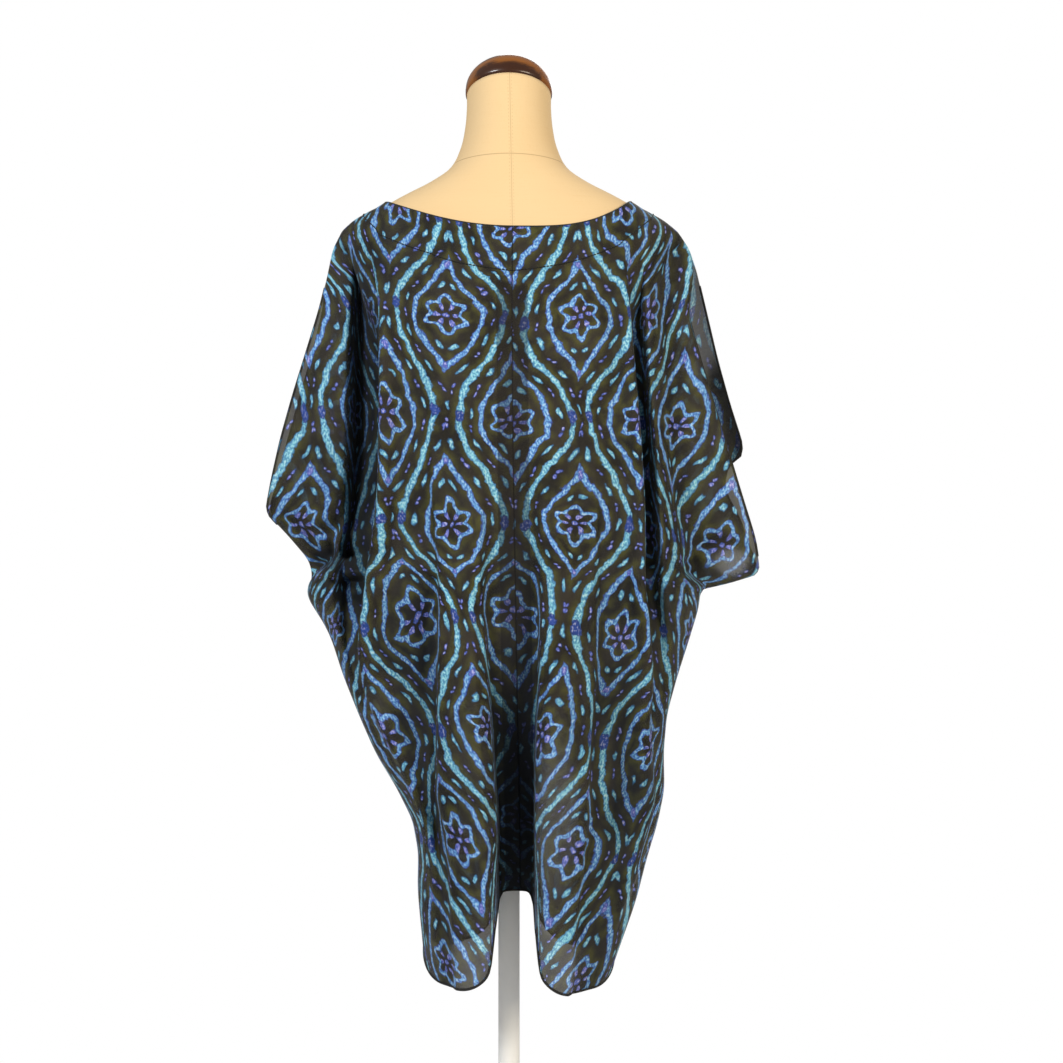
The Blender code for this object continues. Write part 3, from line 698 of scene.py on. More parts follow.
    def lift(self, side: Side, face: Face, row: Row, width: float) -> float:
        """Find how far a place has gone from the centre's height to the outer edge's.

        Args:
            side: The half of the garment.
            face: Its back or front.
            row: The row's sizes.
            width: The place's width from the axis.

        Returns:
            The share, 0 at the centre's height and 1 at the edge's.
        """
        reach = width / row.edge_x
        middle = self.seam_low_x * (1 - reach)
        from_slot = abs(side.value * width + middle - self.hem_slot_x) / self.hem_slot
        inner = (self.inner_from - from_slot) / (self.inner_from - self.inner_to)
        outer = (reach - self.outer_from) / (1 - self.outer_from)
        hem = 1 - math.exp(-(from_slot**self.hem_slot_power))
        hem *= 1 - self.inner_corner * (1 - arc(min(max(inner, 0.0), 1.0), self.inner_power))
        hem *= 1 - self.outer_corner * (1 - arc(min(max(outer, 0.0), 1.0), self.outer_power))
        power = 2.0
        if side is Side.RIGHT and face is Face.BACK:
            power += self.right_neck_power * (1 - ramp(row.course, 0, self.right_neck_ends))
        neck = reach**power
        return neck + (hem - neck) * ramp(row.course, HEM_STARTS, LAST)


def lattice_grid(bm: bmesh.types.BMesh, across: int, down: int) -> list[tuple[int, int]]:
    """Add a flat grid.

    Args:
        bm: The mesh in work.
        across: The grid's steps across.
        down: Its steps down.

    Returns:
        The row and the column of each corner.
    """
    bmesh.ops.create_grid(bm, x_segments=across, y_segments=down, size=1.0)
    return [
        (round((vert.co.y + 1) / 2 * down), round((vert.co.x + 1) / 2 * across))
        for vert in bm.verts
    ]


def crease_depth(crease: Crease, places: np.ndarray) -> np.ndarray:
    """Work out how far one crease lifts each place.

    Args:
        crease: The crease.
        places: Places, with their coordinates last.

    Returns:
        The lift of each place, in metres.
    """
    x, z = places[..., 0], places[..., 2]
    points = np.array(crease.path)
    lengths = np.hypot(*np.diff(points, axis=0).T)
    before = np.concatenate(([0.0], np.cumsum(lengths)))
    nearest = np.full(x.shape, np.inf)
    along = np.zeros(x.shape)
    for k, length in enumerate(lengths):
        step = (points[k + 1] - points[k]) / length
        t = np.clip((x - points[k, 0]) * step[0] + (z - points[k, 1]) * step[1], 0, length)
        away = np.hypot(x - points[k, 0] - t * step[0], z - points[k, 1] - t * step[1])
        closer = away < nearest
        nearest = np.where(closer, away, nearest)
        along = np.where(closer, before[k] + t, along)
    share = along / before[-1]
    fade = np.clip(np.minimum(share, 1 - share) * CREASE_FADES, 0, 1)
    fade = fade * fade * (3 - 2 * fade)
    spread = crease.spread * (CREASE_NARROW + (CREASE_WIDE - CREASE_NARROW) * share)
    return crease.rise * fade * np.exp(-((nearest / spread) ** 2))


@dataclass
class FormRest:
    """Keeps cloth from lying nearer to the dress form than it may."""

    tree: BVHTree
    ease: float = 0.0030
    reach: float = 0.05
    passes: int = 3

    def push(self, place: Vector) -> Vector:
        """Find how far and which way a place moves.

        Args:
            place: The place.

        Returns:
            The move, which is nothing where the place is far enough out.
        """
        near, normal, _, _ = self.tree.find_nearest(place)
        height = (place - near).dot(normal)
        if height < self.ease and (place - near).length < self.reach:
            return normal * (self.ease - height)
        return Vector()

    def lift(self, bm: bmesh.types.BMesh) -> None:
        """Lift a mesh where a corner, or the middle of a face, is too near the form.

        Args:
            bm: The mesh in work.
        """
        for _ in range(self.passes):
            for vert in bm.verts:
                vert.co += self.push(vert.co)
            for face in bm.faces:
                push = self.push(face.calc_center_median())
                for vert in face.verts:
                    vert.co += push


@dataclass
class Panel:
    """One cut piece of cloth as a lattice of places, with its outward ways and flat sizes."""

    side: Side
    face: Face
    places: np.ndarray
    outward: np.ndarray
    flat: np.ndarray
    shade: np.ndarray

    @property
    def name(self) -> str:
        """Give the name of the panel's solid."""
        return f"{self.face.name.lower()}_{self.side.name.lower()}"

    @property
    def flat_size(self) -> tuple[float, float]:
        """Give the width and length of the cloth that the panel is cut from."""
        return float(self.flat[..., 0].max()), float(np.ptp(self.flat[..., 1]))

    @property
    def flat_area(self) -> float:
        """Give the area of the cut.

        Returns:
            The area, in square metres.
        """
        du = np.diff(self.flat[..., 0], axis=1)
        dv = np.diff(self.flat[..., 1], axis=0)
        return float(np.abs(du[:-1] * dv[:, :-1]).sum())


def side_by_side(panels: list[Panel]) -> list[np.ndarray]:
    """Lay the lattices of one panel, or of two that share the centre seam, in one.

    Args:
        panels: The panels, left before right.

    Returns:
        The places, their outward ways, their flat places and their shades.
    """
    parts = []
    for panel in panels:
        step = panel.side.value
        skip = slice(1, None) if parts else slice(None)
        flat = panel.flat * np.array((step, -1.0))
        lattices = (panel.places, panel.outward, flat, panel.shade)
        parts.append([lattice[:, ::step][:, skip] for lattice in lattices])
    return [np.concatenate(lattices, axis=1) for lattices in zip(*parts)]


@dataclass
class Kaftan:
    """The garment: four panels, two neck facings, hems and a line of stitches."""

    wall: float = 0.0010
    finer_across: int = 3
    finer_down: int = 6
    still_courses: float = 2.0
    still_edge: float = 1 / 12
    facing_wall: float = 0.0009
    facing_gap: float = 0.0006
    facing_rows: int = 18
    facing_deep: float = 3.35
    facing_taper: float = 2.05
    facing_curve: float = 1.3
    hem_radius: float = 0.0015
    edge_radius: float = 0.0013
    cuff_ends: int = 2
    bury: float = 0.0002
    stitch: float = 0.0030
    stitch_space: float = 0.0012
    stitches_start: float = 0.004
    stitches_end: float = 0.006
    thread: float = 0.0007
    shade_reach: int = 11
    shade_depth: float = 0.048
    shade_start: float = 0.15
    lit_edge: float = 0.12
    lit_fade: float = 0.10
    crease_shade: float = 0.7
    crease_depth: float = 0.010
    wave_deep: float = 9.0
    wave_slant: float = 2.0
    waves: tuple[tuple[float, float, float], ...] = (
        (17.0, 5.0, 0.0042),
        (34.0, 12.0, 0.0022),
        (70.0, 30.0, 0.0010),
    )
    drape: Drape = field(default_factory=Drape)
    panels: dict[tuple[Side, Face], Panel] = field(default_factory=dict)

    def shape(self, rest: FormRest) -> None:
        """Work out where each panel hangs.

        Args:
            rest: Keeps the cloth off the dress form.
        """
        for face in Face:
            for side in Side:
                self.panels[side, face] = self.shape_panel(side, face, rest)
                LOG.info("shaped %s", self.panels[side, face].name)

    def shape_panel(self, side: Side, face: Face, rest: FormRest) -> Panel:
        """Hang one panel, crease it and rest it on the form.

        Args:
            side: The half of the garment.
            face: Its back or front.
            rest: Keeps the cloth off the dress form.

        Returns:
            The panel.
        """
        across, down = COLUMNS * self.finer_across, LAST * self.finer_down
        places = np.zeros((down + 1, across + 1, 3))
        for j in range(down + 1):
            row = self.drape.row(side, face, j / self.finer_down)
            for i in range(across + 1):
                places[j, i] = self.drape.place(side, face, row, i / across)
        flat = self.flat_places(places)
        creases = sum(crease_depth(crease, places) for crease in CREASES[side, face])
        lift = creases + self.unevenness(places)
        course = np.arange(down + 1)[:, None] / self.finer_down
        to_edge = 1 - np.arange(across + 1)[None, :] / across
        free = np.clip(course / self.still_courses, 0, 1) * np.clip(to_edge / self.still_edge, 0, 1)
        places[..., 1] += face.value * lift * free
        outward = self.settle(side, face, places, rest)
        shade = self.hollows(face, places, creases)
        shade = shade + sum(patch.over(places) for patch in PATCHES[side, face])
        return Panel(side, face, places, outward, flat, np.minimum(shade, 1.0))

    def settle(self, side: Side, face: Face, places: np.ndarray, rest: FormRest) -> np.ndarray:
        """Rest a lattice on the form, bring its edges to the seams and find its outward ways.

        Args:
            side: The half of the garment.
            face: Its back or front.
            places: The lattice, which this changes.
            rest: Keeps the cloth off the dress form.

        Returns:
            The outward way at each place.
        """
        down, across = places.shape[0] - 1, places.shape[1] - 1
        bm = bmesh.new()
        spots = lattice_grid(bm, across, down)
        for vert, spot in zip(bm.verts, spots):
            vert.co = places[spot]
        if side.value * face.value < 0:
            bmesh.ops.reverse_faces(bm, faces=bm.faces)
        rest.lift(bm)
        bm.normal_update()
        outward = np.zeros_like(places)
        for vert, (j, i) in zip(bm.verts, spots):
            place, way = vert.co.copy(), vert.normal.copy()
            if i == 0:
                place.x = self.drape.seam_x(place.z)
                way.x = 0.0
            if i == across and not CUFF_TOP < j / self.finer_down < CUFF_END:
                place.y = 0.0
                way.y = 0.0
            places[j, i] = place
            outward[j, i] = way.normalized()
        bm.free()
        return outward

    def hollows(self, face: Face, places: np.ndarray, creases: np.ndarray) -> np.ndarray:
        """Work out how far each place lies in the shade of a fold or a crease.

        Args:
            face: The garment's back or front.
            places: The hanging places.
            creases: How far the creases lift each place.

        Returns:
            The shade of each place, from 0 to 1.
        """
        out = face.value * places[..., 1]
        padded = np.pad(out, ((0, 0), (self.shade_reach, self.shade_reach)), mode="edge")
        windows = np.lib.stride_tricks.sliding_window_view(padded, 2 * self.shade_reach + 1, 1)
        hidden = windows.max(axis=2) - out
        folds = np.clip(hidden / self.shade_depth - self.shade_start, 0.0, 1.0)
        to_edge = 1 - np.linspace(0.0, 1.0, out.shape[1])
        folds = folds * np.clip((to_edge - self.lit_edge) / self.lit_fade, 0.0, 1.0)
        troughs = self.crease_shade * np.clip(-creases / self.crease_depth, 0.0, 1.0)
        return np.maximum(folds, troughs)

    def unevenness(self, places: np.ndarray) -> np.ndarray:
        """Work out the small waves of thin cloth, longer down than across.

        Args:
            places: The hanging places.

        Returns:
            The lift of each place, in metres.
        """
        lift = np.zeros(places.shape[:2])
        for across, down, height in self.waves:
            for j, row in enumerate(places):
                for i, (x, y, z) in enumerate(row):
                    slant = x * self.wave_slant
                    place = Vector((x * across, y * self.wave_deep, z * down + slant))
                    lift[j, i] += noise.noise(place) * height
        return lift

    def flat_places(self, places: np.ndarray) -> np.ndarray:
        """Lay a hanging lattice flat: how far each place is from the centre seam and the top.

        Args:
            places: The hanging places.

        Returns:
            The flat places, with the width first.
        """
        steps = np.linalg.norm(np.diff(places, axis=1), axis=2)
        width = np.concatenate((np.zeros((len(places), 1)), np.cumsum(steps, axis=1)), axis=1)
        drops = np.linalg.norm(np.diff(places, axis=0), axis=2).mean(axis=1)
        length = np.concatenate(([0.0], np.cumsum(drops)))
        return np.stack((width, np.broadcast_to(length[:, None], width.shape)), axis=2)

    def wall_piece(
        self, name: str, panels: list[Panel], inner: float, outer: float
    ) -> bpy.types.Object:
        """Build a closed wall over one panel, or over two that meet at the centre seam.

        Args:
            name: The piece's name.
            panels: The panels, left before right.
            inner: How far its inside lies off the lattice.
            outer: How far its outside lies off the lattice.

        Returns:
            The piece.
        """
        place, way, uv, dark = side_by_side(panels)
        across, down = place.shape[1] - 1, place.shape[0] - 1
        bm = bmesh.new()
        tag = bm.verts.layers.int.new("place")
        shade = bm.verts.layers.float.new("shade")
        flat_map = bm.loops.layers.uv.new("flat")
        crease = bm.edges.layers.float.new("crease_edge")
        spots = lattice_grid(bm, across, down)
        for number, vert in enumerate(bm.verts):
            vert[tag] = number
        inside = set(bm.verts)
        sheet = bm.verts[:] + bm.edges[:] + bm.faces[:]
        bmesh.ops.extrude_face_region(bm, geom=sheet, use_keep_orig=True)
        for vert in bm.verts:
            spot = spots[vert[tag]]
            off = inner if vert in inside else outer
            vert.co = place[spot] + way[spot] * off
            vert[shade] = dark[spot]
        for bm_face in bm.faces:
            sides = {vert in inside for vert in bm_face.verts}
            if len(sides) == 2:
                for edge in bm_face.edges:
                    edge[crease] = 1.0
            for loop in bm_face.loops:
                loop[flat_map].uv = uv[spots[loop.vert[tag]]]
        bmesh.ops.recalc_face_normals(bm, faces=bm.faces)
        if bm.calc_volume(signed=True) < 0:
            bmesh.ops.reverse_faces(bm, faces=bm.faces)
        piece = finished(name, bm)
        subdivide(piece, 1)
        return piece

    def edge_lines(self, panel: Panel) -> list[list[Vector]]:
        """Find the lines that the hem and the cuff's edge of a panel follow.

        Args:
            panel: The panel.

        Returns:
            The hem's line and the cuff's line.
        """
        middle = panel.places + panel.outward * self.wall / 2
        first = CUFF_TOP * self.finer_down + self.cuff_ends
        last = CUFF_END * self.finer_down - self.cuff_ends
        return [
            [Vector(place) for place in middle[-1]],
            [Vector(place) for place in middle[first:last, -1]],
        ]

    def build(self, finishes: "Finishes") -> None:
        """Build and dress every piece of the garment.

        Args:
            finishes: The materials.
        """
        for panel in self.panels.values():
            piece = self.wall_piece("cloth_" + panel.name, [panel], 0.0, self.wall)
            dress(piece, finishes.print_cloth, panel.name)
            hem = tube("hem_" + panel.name, self.edge_lines(panel), self.hem_radius)
            dress(hem, finishes.hem_cloth, None)
            panel.flat_size
            panel.flat_area
            LOG.info("%s is cut from %.3f by %.3f m", piece.name, *panel.flat_size)
        for face in Face:
            self.build_facing(face, finishes)

    def facing_panel(self, panel: Panel) -> Panel:
        """Read the part of a panel that its neck facing covers, deepest at the centre seam.

        Args:
            panel: The panel.

        Returns:
            The facing's share of the panel.
        """
        columns = panel.places.shape[1] - 1
        width = np.arange(columns + 1) / columns
        deep = self.facing_deep - self.facing_taper * width**self.facing_curve
        deep = deep * self.finer_down
        at = np.arange(self.facing_rows + 1)[:, None] * deep[None, :] / self.facing_rows
        low = np.floor(at).astype(int)
        part = (at - low)[..., None]
        spots = np.broadcast_to(np.arange(columns + 1), low.shape)

        def read(lattice: np.ndarray) -> np.ndarray:
            """Read a lattice between its rows."""
            return lattice[low, spots] * (1 - part) + lattice[low + 1, spots] * part

        return Panel(
            panel.side,
            panel.face,
            read(panel.places),
            read(panel.outward),
            read(panel.flat),
            panel.shade[low, spots],
        )

    def build_facing(self, face: Face, finishes: "Finishes") -> None:
        """Build a neck facing, the fold at the neckline and the stitches that hold it.

        Args:
            face: The garment's back or front.
            finishes: The materials.
        """
        pair = [self.facing_panel(self.panels[side, face]) for side in Side]
        word = face.name.lower()
        inner = -self.facing_gap - self.facing_wall
        facing = self.wall_piece(f"facing_{word}", pair, inner, -self.facing_gap)
        dress(facing, finishes.facing_cloth, f"neck_facing_{word}")
        sum(half.flat_size[0] for half in pair)
        pair[0].flat_size[1]
        sum(half.flat_area for half in pair)
        fold_line = self.across_line(pair, 0, (self.wall - self.facing_gap) / 2 - self.bury)
        fold = tube(f"neck_fold_{word}", [fold_line], self.edge_radius)
        dress(fold, finishes.hem_cloth, None)
        line = self.across_line(pair, -1, self.wall + self.bury)
        stitches = tube(f"facing_stitches_{word}", self.dashes(line), self.thread)
        dress(stitches, finishes.thread, None)

    def across_line(self, pair: list[Panel], row: int, off: float) -> list[Vector]:
        """Follow one row from the left shoulder to the right one.

        Args:
            pair: The left and the right panel.
            row: The row.
            off: How far the line lies off the lattice.

        Returns:
            The line's points.
        """
        left, right = pair
        places = np.concatenate((left.places[row, ::-1], right.places[row]))
        ways = np.concatenate((left.outward[row, ::-1], right.outward[row]))
        return [Vector(place + way * off) for place, way in zip(places, ways)]

    def dashes(self, line: list[Vector]) -> list[list[Vector]]:
        """Cut a line into stitches.

        Args:
            line: The line's points.

        Returns:
            A short line for each stitch.
        """
        points = np.array([tuple(point) for point in line])
        gone = np.concatenate(([0.0], np.cumsum(np.linalg.norm(np.diff(points, axis=0), axis=1))))
        last = gone[-1] - self.stitches_end
        starts = np.arange(self.stitches_start, last, self.stitch + self.stitch_space)

        def at(length: float) -> Vector:
            """Find the point that is a length along the line."""
            return Vector([float(np.interp(length, gone, points[:, k])) for k in range(3)])

        return [[at(start + self.stitch * share) for share in (0, 0.5, 1)] for start in starts]


def finished(name: str, bm: bmesh.types.BMesh) -> bpy.types.Object:
    """Make an object at the origin from a mesh in work.

    Args:
        name: The object's name.
        bm: The mesh in work, which this frees.

    Returns:
        The object.
    """
    mesh = bpy.data.meshes.new(name)
    bm.to_mesh(mesh)
    bm.free()
    return placed(name, mesh)


def placed(name: str, mesh: bpy.types.Mesh) -> bpy.types.Object:
    """Put a mesh in the scene as an object at the origin, with smooth shading.

    Args:
        name: The object's name.
        mesh: Its mesh.

    Returns:
        The object.
    """
    mesh.shade_smooth()
    piece = bpy.data.objects.new(name, mesh)
    bpy.context.scene.collection.objects.link(piece)
    return piece


def subdivide(piece: bpy.types.Object, levels: int) -> None:
    """Add a subdivision surface that keeps the mesh's open corners.

    Args:
        piece: The object.
        levels: How often its faces are split, in view and render alike.
    """
    surface = piece.modifiers.new("smooth", "SUBSURF")
    surface.levels = levels
    surface.render_levels = levels
    surface.boundary_smooth = "PRESERVE_CORNERS"


def tube(name: str, lines: list[list[Vector]], radius: float) -> bpy.types.Object:
    """Build round tubes along lines.

    Args:
        name: The piece's name.
        lines: The points of each line.
        radius: The tubes' radius.

    Returns:
        The piece, as a mesh.
    """
    curve = bpy.data.curves.new(name, "CURVE")
    curve.dimensions = "3D"
    curve.bevel_depth = radius
    curve.bevel_resolution = 1
    curve.use_fill_caps = True
    for line in lines:
        spline = curve.splines.new("POLY")
        spline.points.add(len(line) - 1)
        for point, place in zip(spline.points, line):
            point.co = (*place, 1.0)
    holder = bpy.data.objects.new(name + "_line", curve)
    mesh = bpy.data.meshes.new_from_object(holder)
    mesh.name = name
    bpy.data.objects.remove(holder)
    return placed(name, mesh)


def dress(
    piece: bpy.types.Object, material: bpy.types.Material, node: str | None
) -> None:
    """Give a piece its finish and tell the frame what it stands for.

    Args:
        piece: The piece.
        Give a piece its finish, attach it to the body and hide the solid that it replaces.
        node: The solid that it replaces, if it replaces one.
    """
    piece.data.materials.clear()
    piece.data.materials.append(material)
    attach(piece, BODY)
    if node:
        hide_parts(node)
    LOG.info("built %s, finished in %s", piece.name, material.name)


@dataclass
class DressForm:
    """The limbless form: a linen cover over torso and neck, and a wooden cap."""

    sides: int = 112
    rows: int = 150
    power: float = 2.3
    squares_z: tuple[float, float] = (1.27, 1.23)
    neck_tilt: float = math.radians(21)
    tilts_z: tuple[float, float] = (1.39, 1.468)
    cap_sides: int = 72
    cap_rings: int = 14
    cap_radius: float = 0.0510
    cap_rim: float = 0.0085
    cap_dome: float = 0.036
    cap_foot: tuple[tuple[float, float], ...] = (
        (0.0512, 0.0070),
        (0.0511, 0.0030),
        (0.0502, 0.0010),
        (0.0482, 0.0),
        (0.0, 0.0),
    )
    fit: float = 0.0003
    sections: Sections = field(default_factory=lambda: Sections(FORM_RINGS))

    def place(self, z: float, turn: float) -> Vector:
        """Find a place on the form's cover.

        Args:
            z: Its height before the neck's tilt.
            turn: Its angle round the axis, in radians.

        Returns:
            The place.
        """
        x, y = math.cos(turn), math.sin(turn)
        power = 2.0 + (self.power - 2.0) * ramp(z, *self.squares_z)
        reach = (abs(x) ** power + abs(y) ** power) ** (-1 / power)
        depth = self.sections.depth(Face.BACK if y < 0 else Face.FRONT, z)
        place = Vector((self.sections.half(z) * x * reach, depth * y * reach, z))
        place.z -= place.y * math.tan(self.neck_tilt) * ramp(z, *self.tilts_z)
        return place

    def build(self, finishes: "Finishes") -> bpy.types.Object:
        """Build the cover and the cap.

        Args:
            finishes: The materials.

        Returns:
            The cover.
        """
        low, high = FORM_RINGS[0].z, FORM_RINGS[-1].z
        bm = bmesh.new()
        bmesh.ops.create_grid(bm, x_segments=self.sides, y_segments=self.rows, size=1.0)
        for vert in bm.verts:
            share = (vert.co.y + 1) / 2
            vert.co = self.place(low + (high - low) * share, math.pi * (vert.co.x - 0.5))
        bmesh.ops.remove_doubles(bm, verts=bm.verts, dist=SAME_PLACE)
        ends = [edge for edge in bm.edges if edge.is_boundary]
        bmesh.ops.holes_fill(bm, edges=ends, sides=self.sides)
        bmesh.ops.recalc_face_normals(bm, faces=bm.faces)
        cover = finished("form_cover", bm)
        dress(cover, finishes.linen, "dress_form")
        self.build_cap(finishes)
        return cover

    def build_cap(self, finishes: "Finishes") -> None:
        """Turn the wooden cap and lean it forward with the neck.

        Args:
            finishes: The materials.
        """
        turns = [k * math.pi / 2 / self.cap_rings for k in range(self.cap_rings + 1)]
        dome = [
            (self.cap_radius * math.sin(turn), self.cap_rim + self.cap_dome * math.cos(turn))
            for turn in turns
        ]
        bm = turned(dome + list(self.cap_foot), self.cap_sides)
        lean = Vector((0.0, math.sin(self.neck_tilt), math.cos(self.neck_tilt)))
        for vert in bm.verts:
            place = vert.co.copy()
            up = place.z * lean
            across = Vector((0.0, lean.z, -lean.y)) * place.y
            vert.co = Vector((place.x, 0.0, FORM_RINGS[-1].z)) + across + up + lean * self.fit
        cap = finished("cap", bm)
        dress(cap, finishes.wood, "neck_cap")


def turned(profile: list[tuple[float, float]], sides: int) -> bmesh.types.BMesh:
    """Turn a profile of (radius, height) points round the upright axis.

    Args:
        profile: The points, from the top on the axis to the bottom.
        sides: How many steps the turn has.

    Returns:
        The turned mesh.
    """
    bm = bmesh.new()
    verts = [bm.verts.new((radius, 0.0, height)) for radius, height in profile]
    edges = [bm.edges.new(pair) for pair in zip(verts, verts[1:])]
    bmesh.ops.spin(
        bm,
        geom=verts + edges,
        cent=(0.0, 0.0, 0.0),
        axis=(0.0, 0.0, 1.0),
        angle=2 * math.pi,
        steps=sides,
        use_merge=True,
        use_duplicate=False,
    )
    bmesh.ops.remove_doubles(bm, verts=bm.verts, dist=SAME_PLACE)
    bmesh.ops.recalc_face_normals(bm, faces=bm.faces)
    return bm


@dataclass
class Stand:
    """The white stand: base, socket, pole and the collar under the form."""

    sides: int = 96
    fit: float = 0.0003
    pole_radius: float = 0.0125
    collar_radius: float = 0.021
    collar_height: float = 0.045
    flange_radius: float = 0.045
    flange_height: float = 0.006
    base_radius: float = 0.18
    base_height: float = 0.020
    base_slope: tuple[float, float] = (0.6, 0.85)
    base_bevel: float = 0.006
    base_bevel_height: float = 0.010
    socket_radius: float = 0.024
    socket_height: float = 0.050
    lip_wall: float = 0.005
    lip_height: float = 0.004
    socket_foot: float = 0.008
    collar_slope: float = 0.004
    edge: float = 0.0012

    def rounded(self, points: list[tuple[float, float]]) -> list[tuple[float, float]]:
        """Round the corners of a profile with three points each.

        Args:
            points: The sharp profile.

        Returns:
            The profile with soft corners.
        """
        soft = [points[0]]
        for before, here, after in zip(points, points[1:], points[2:]):
            corner = Vector(here)
            back, ahead = Vector(before) - corner, Vector(after) - corner
            cut = min(self.edge, back.length / 3, ahead.length / 3)
            first = corner + back.normalized() * cut
            last = corner + ahead.normalized() * cut
            soft += [tuple(first), tuple(corner * 0.5 + (first + last) * 0.25), tuple(last)]
        return soft + [points[-1]]

    def build(self, finishes: "Finishes") -> None:
        """Build and dress the stand's pieces.

        Args:
            finishes: The materials.
        """
        socket_low = self.base_height + self.fit
        socket_top = socket_low + self.socket_height
        flange_top = FORM_RINGS[0].z - self.fit
        flange_low = flange_top - self.flange_height
        collar_low = flange_low - self.collar_height
        profiles = {
            "base_plate": (
                "stand_base",
                [
                    (0.0, self.base_height),
                    (self.socket_radius, self.base_height),
                    (self.base_radius * self.base_slope[0], self.base_height * self.base_slope[1]),
                    (self.base_radius - self.base_bevel, self.base_bevel_height),
                    (self.base_radius, self.base_bevel),
                    (self.base_radius, 0.0),
                    (0.0, 0.0),
                ],
            ),
            "socket": (
                "pole_socket",
                [
                    (0.0, socket_top),
                    (self.pole_radius + self.lip_wall, socket_top),
                    (self.pole_radius + self.lip_wall, socket_top - self.lip_height),
                    (self.socket_radius, socket_low + self.socket_foot),
                    (self.socket_radius, socket_low),
                    (0.0, socket_low),
                ],
            ),
            "pole": (
                "stand_pole",
                [
                    (0.0, collar_low - self.fit),
                    (self.pole_radius, collar_low - self.fit),
                    (self.pole_radius, socket_top + self.fit),
                    (0.0, socket_top + self.fit),
                ],
            ),
            "collar": (
                "form_collar",
                [
                    (0.0, flange_top),
                    (self.flange_radius, flange_top),
                    (self.flange_radius, flange_low),
                    (self.collar_radius, flange_low - self.collar_slope),
                    (self.collar_radius, collar_low),
                    (0.0, collar_low),
                ],
            ),
        }
        for name, (node, profile) in profiles.items():
            piece = finished(name, turned(self.rounded(profile), self.sides))
            dress(piece, finishes.paint, node)


class Value:
    """A shader socket that takes part in Python expressions."""

    def __init__(self, recipe: "Recipe", socket: bpy.types.NodeSocket) -> None:
        """Keep the recipe and the socket."""
        self.recipe = recipe
        self.socket = socket

    def math(self, operation: str, *others: "Value | float") -> "Value":
        """Add a Math node on this value and others."""
        return self.recipe.math(operation, self, *others)

    def __add__(self, other: "Value | float") -> "Value":
        """Add."""
        return self.math("ADD", other)

    __radd__ = __add__

    def __sub__(self, other: "Value | float") -> "Value":
        """Subtract."""
        return self.math("SUBTRACT", other)

    def __rsub__(self, other: float) -> "Value":
        """Subtract this from a number."""
        return self.recipe.math("SUBTRACT", other, self)

    def __mul__(self, other: "Value | float") -> "Value":
        """Multiply."""
        return self.math("MULTIPLY", other)

    __rmul__ = __mul__

    def __truediv__(self, other: "Value | float") -> "Value":
        """Divide."""
        return self.math("DIVIDE", other)

    def __abs__(self) -> "Value":
        """Drop the sign."""
        return self.math("ABSOLUTE")

    def __pow__(self, other: float) -> "Value":
        """Raise to a power."""
        return self.math("POWER", other)


Colour = tuple[float, float, float]


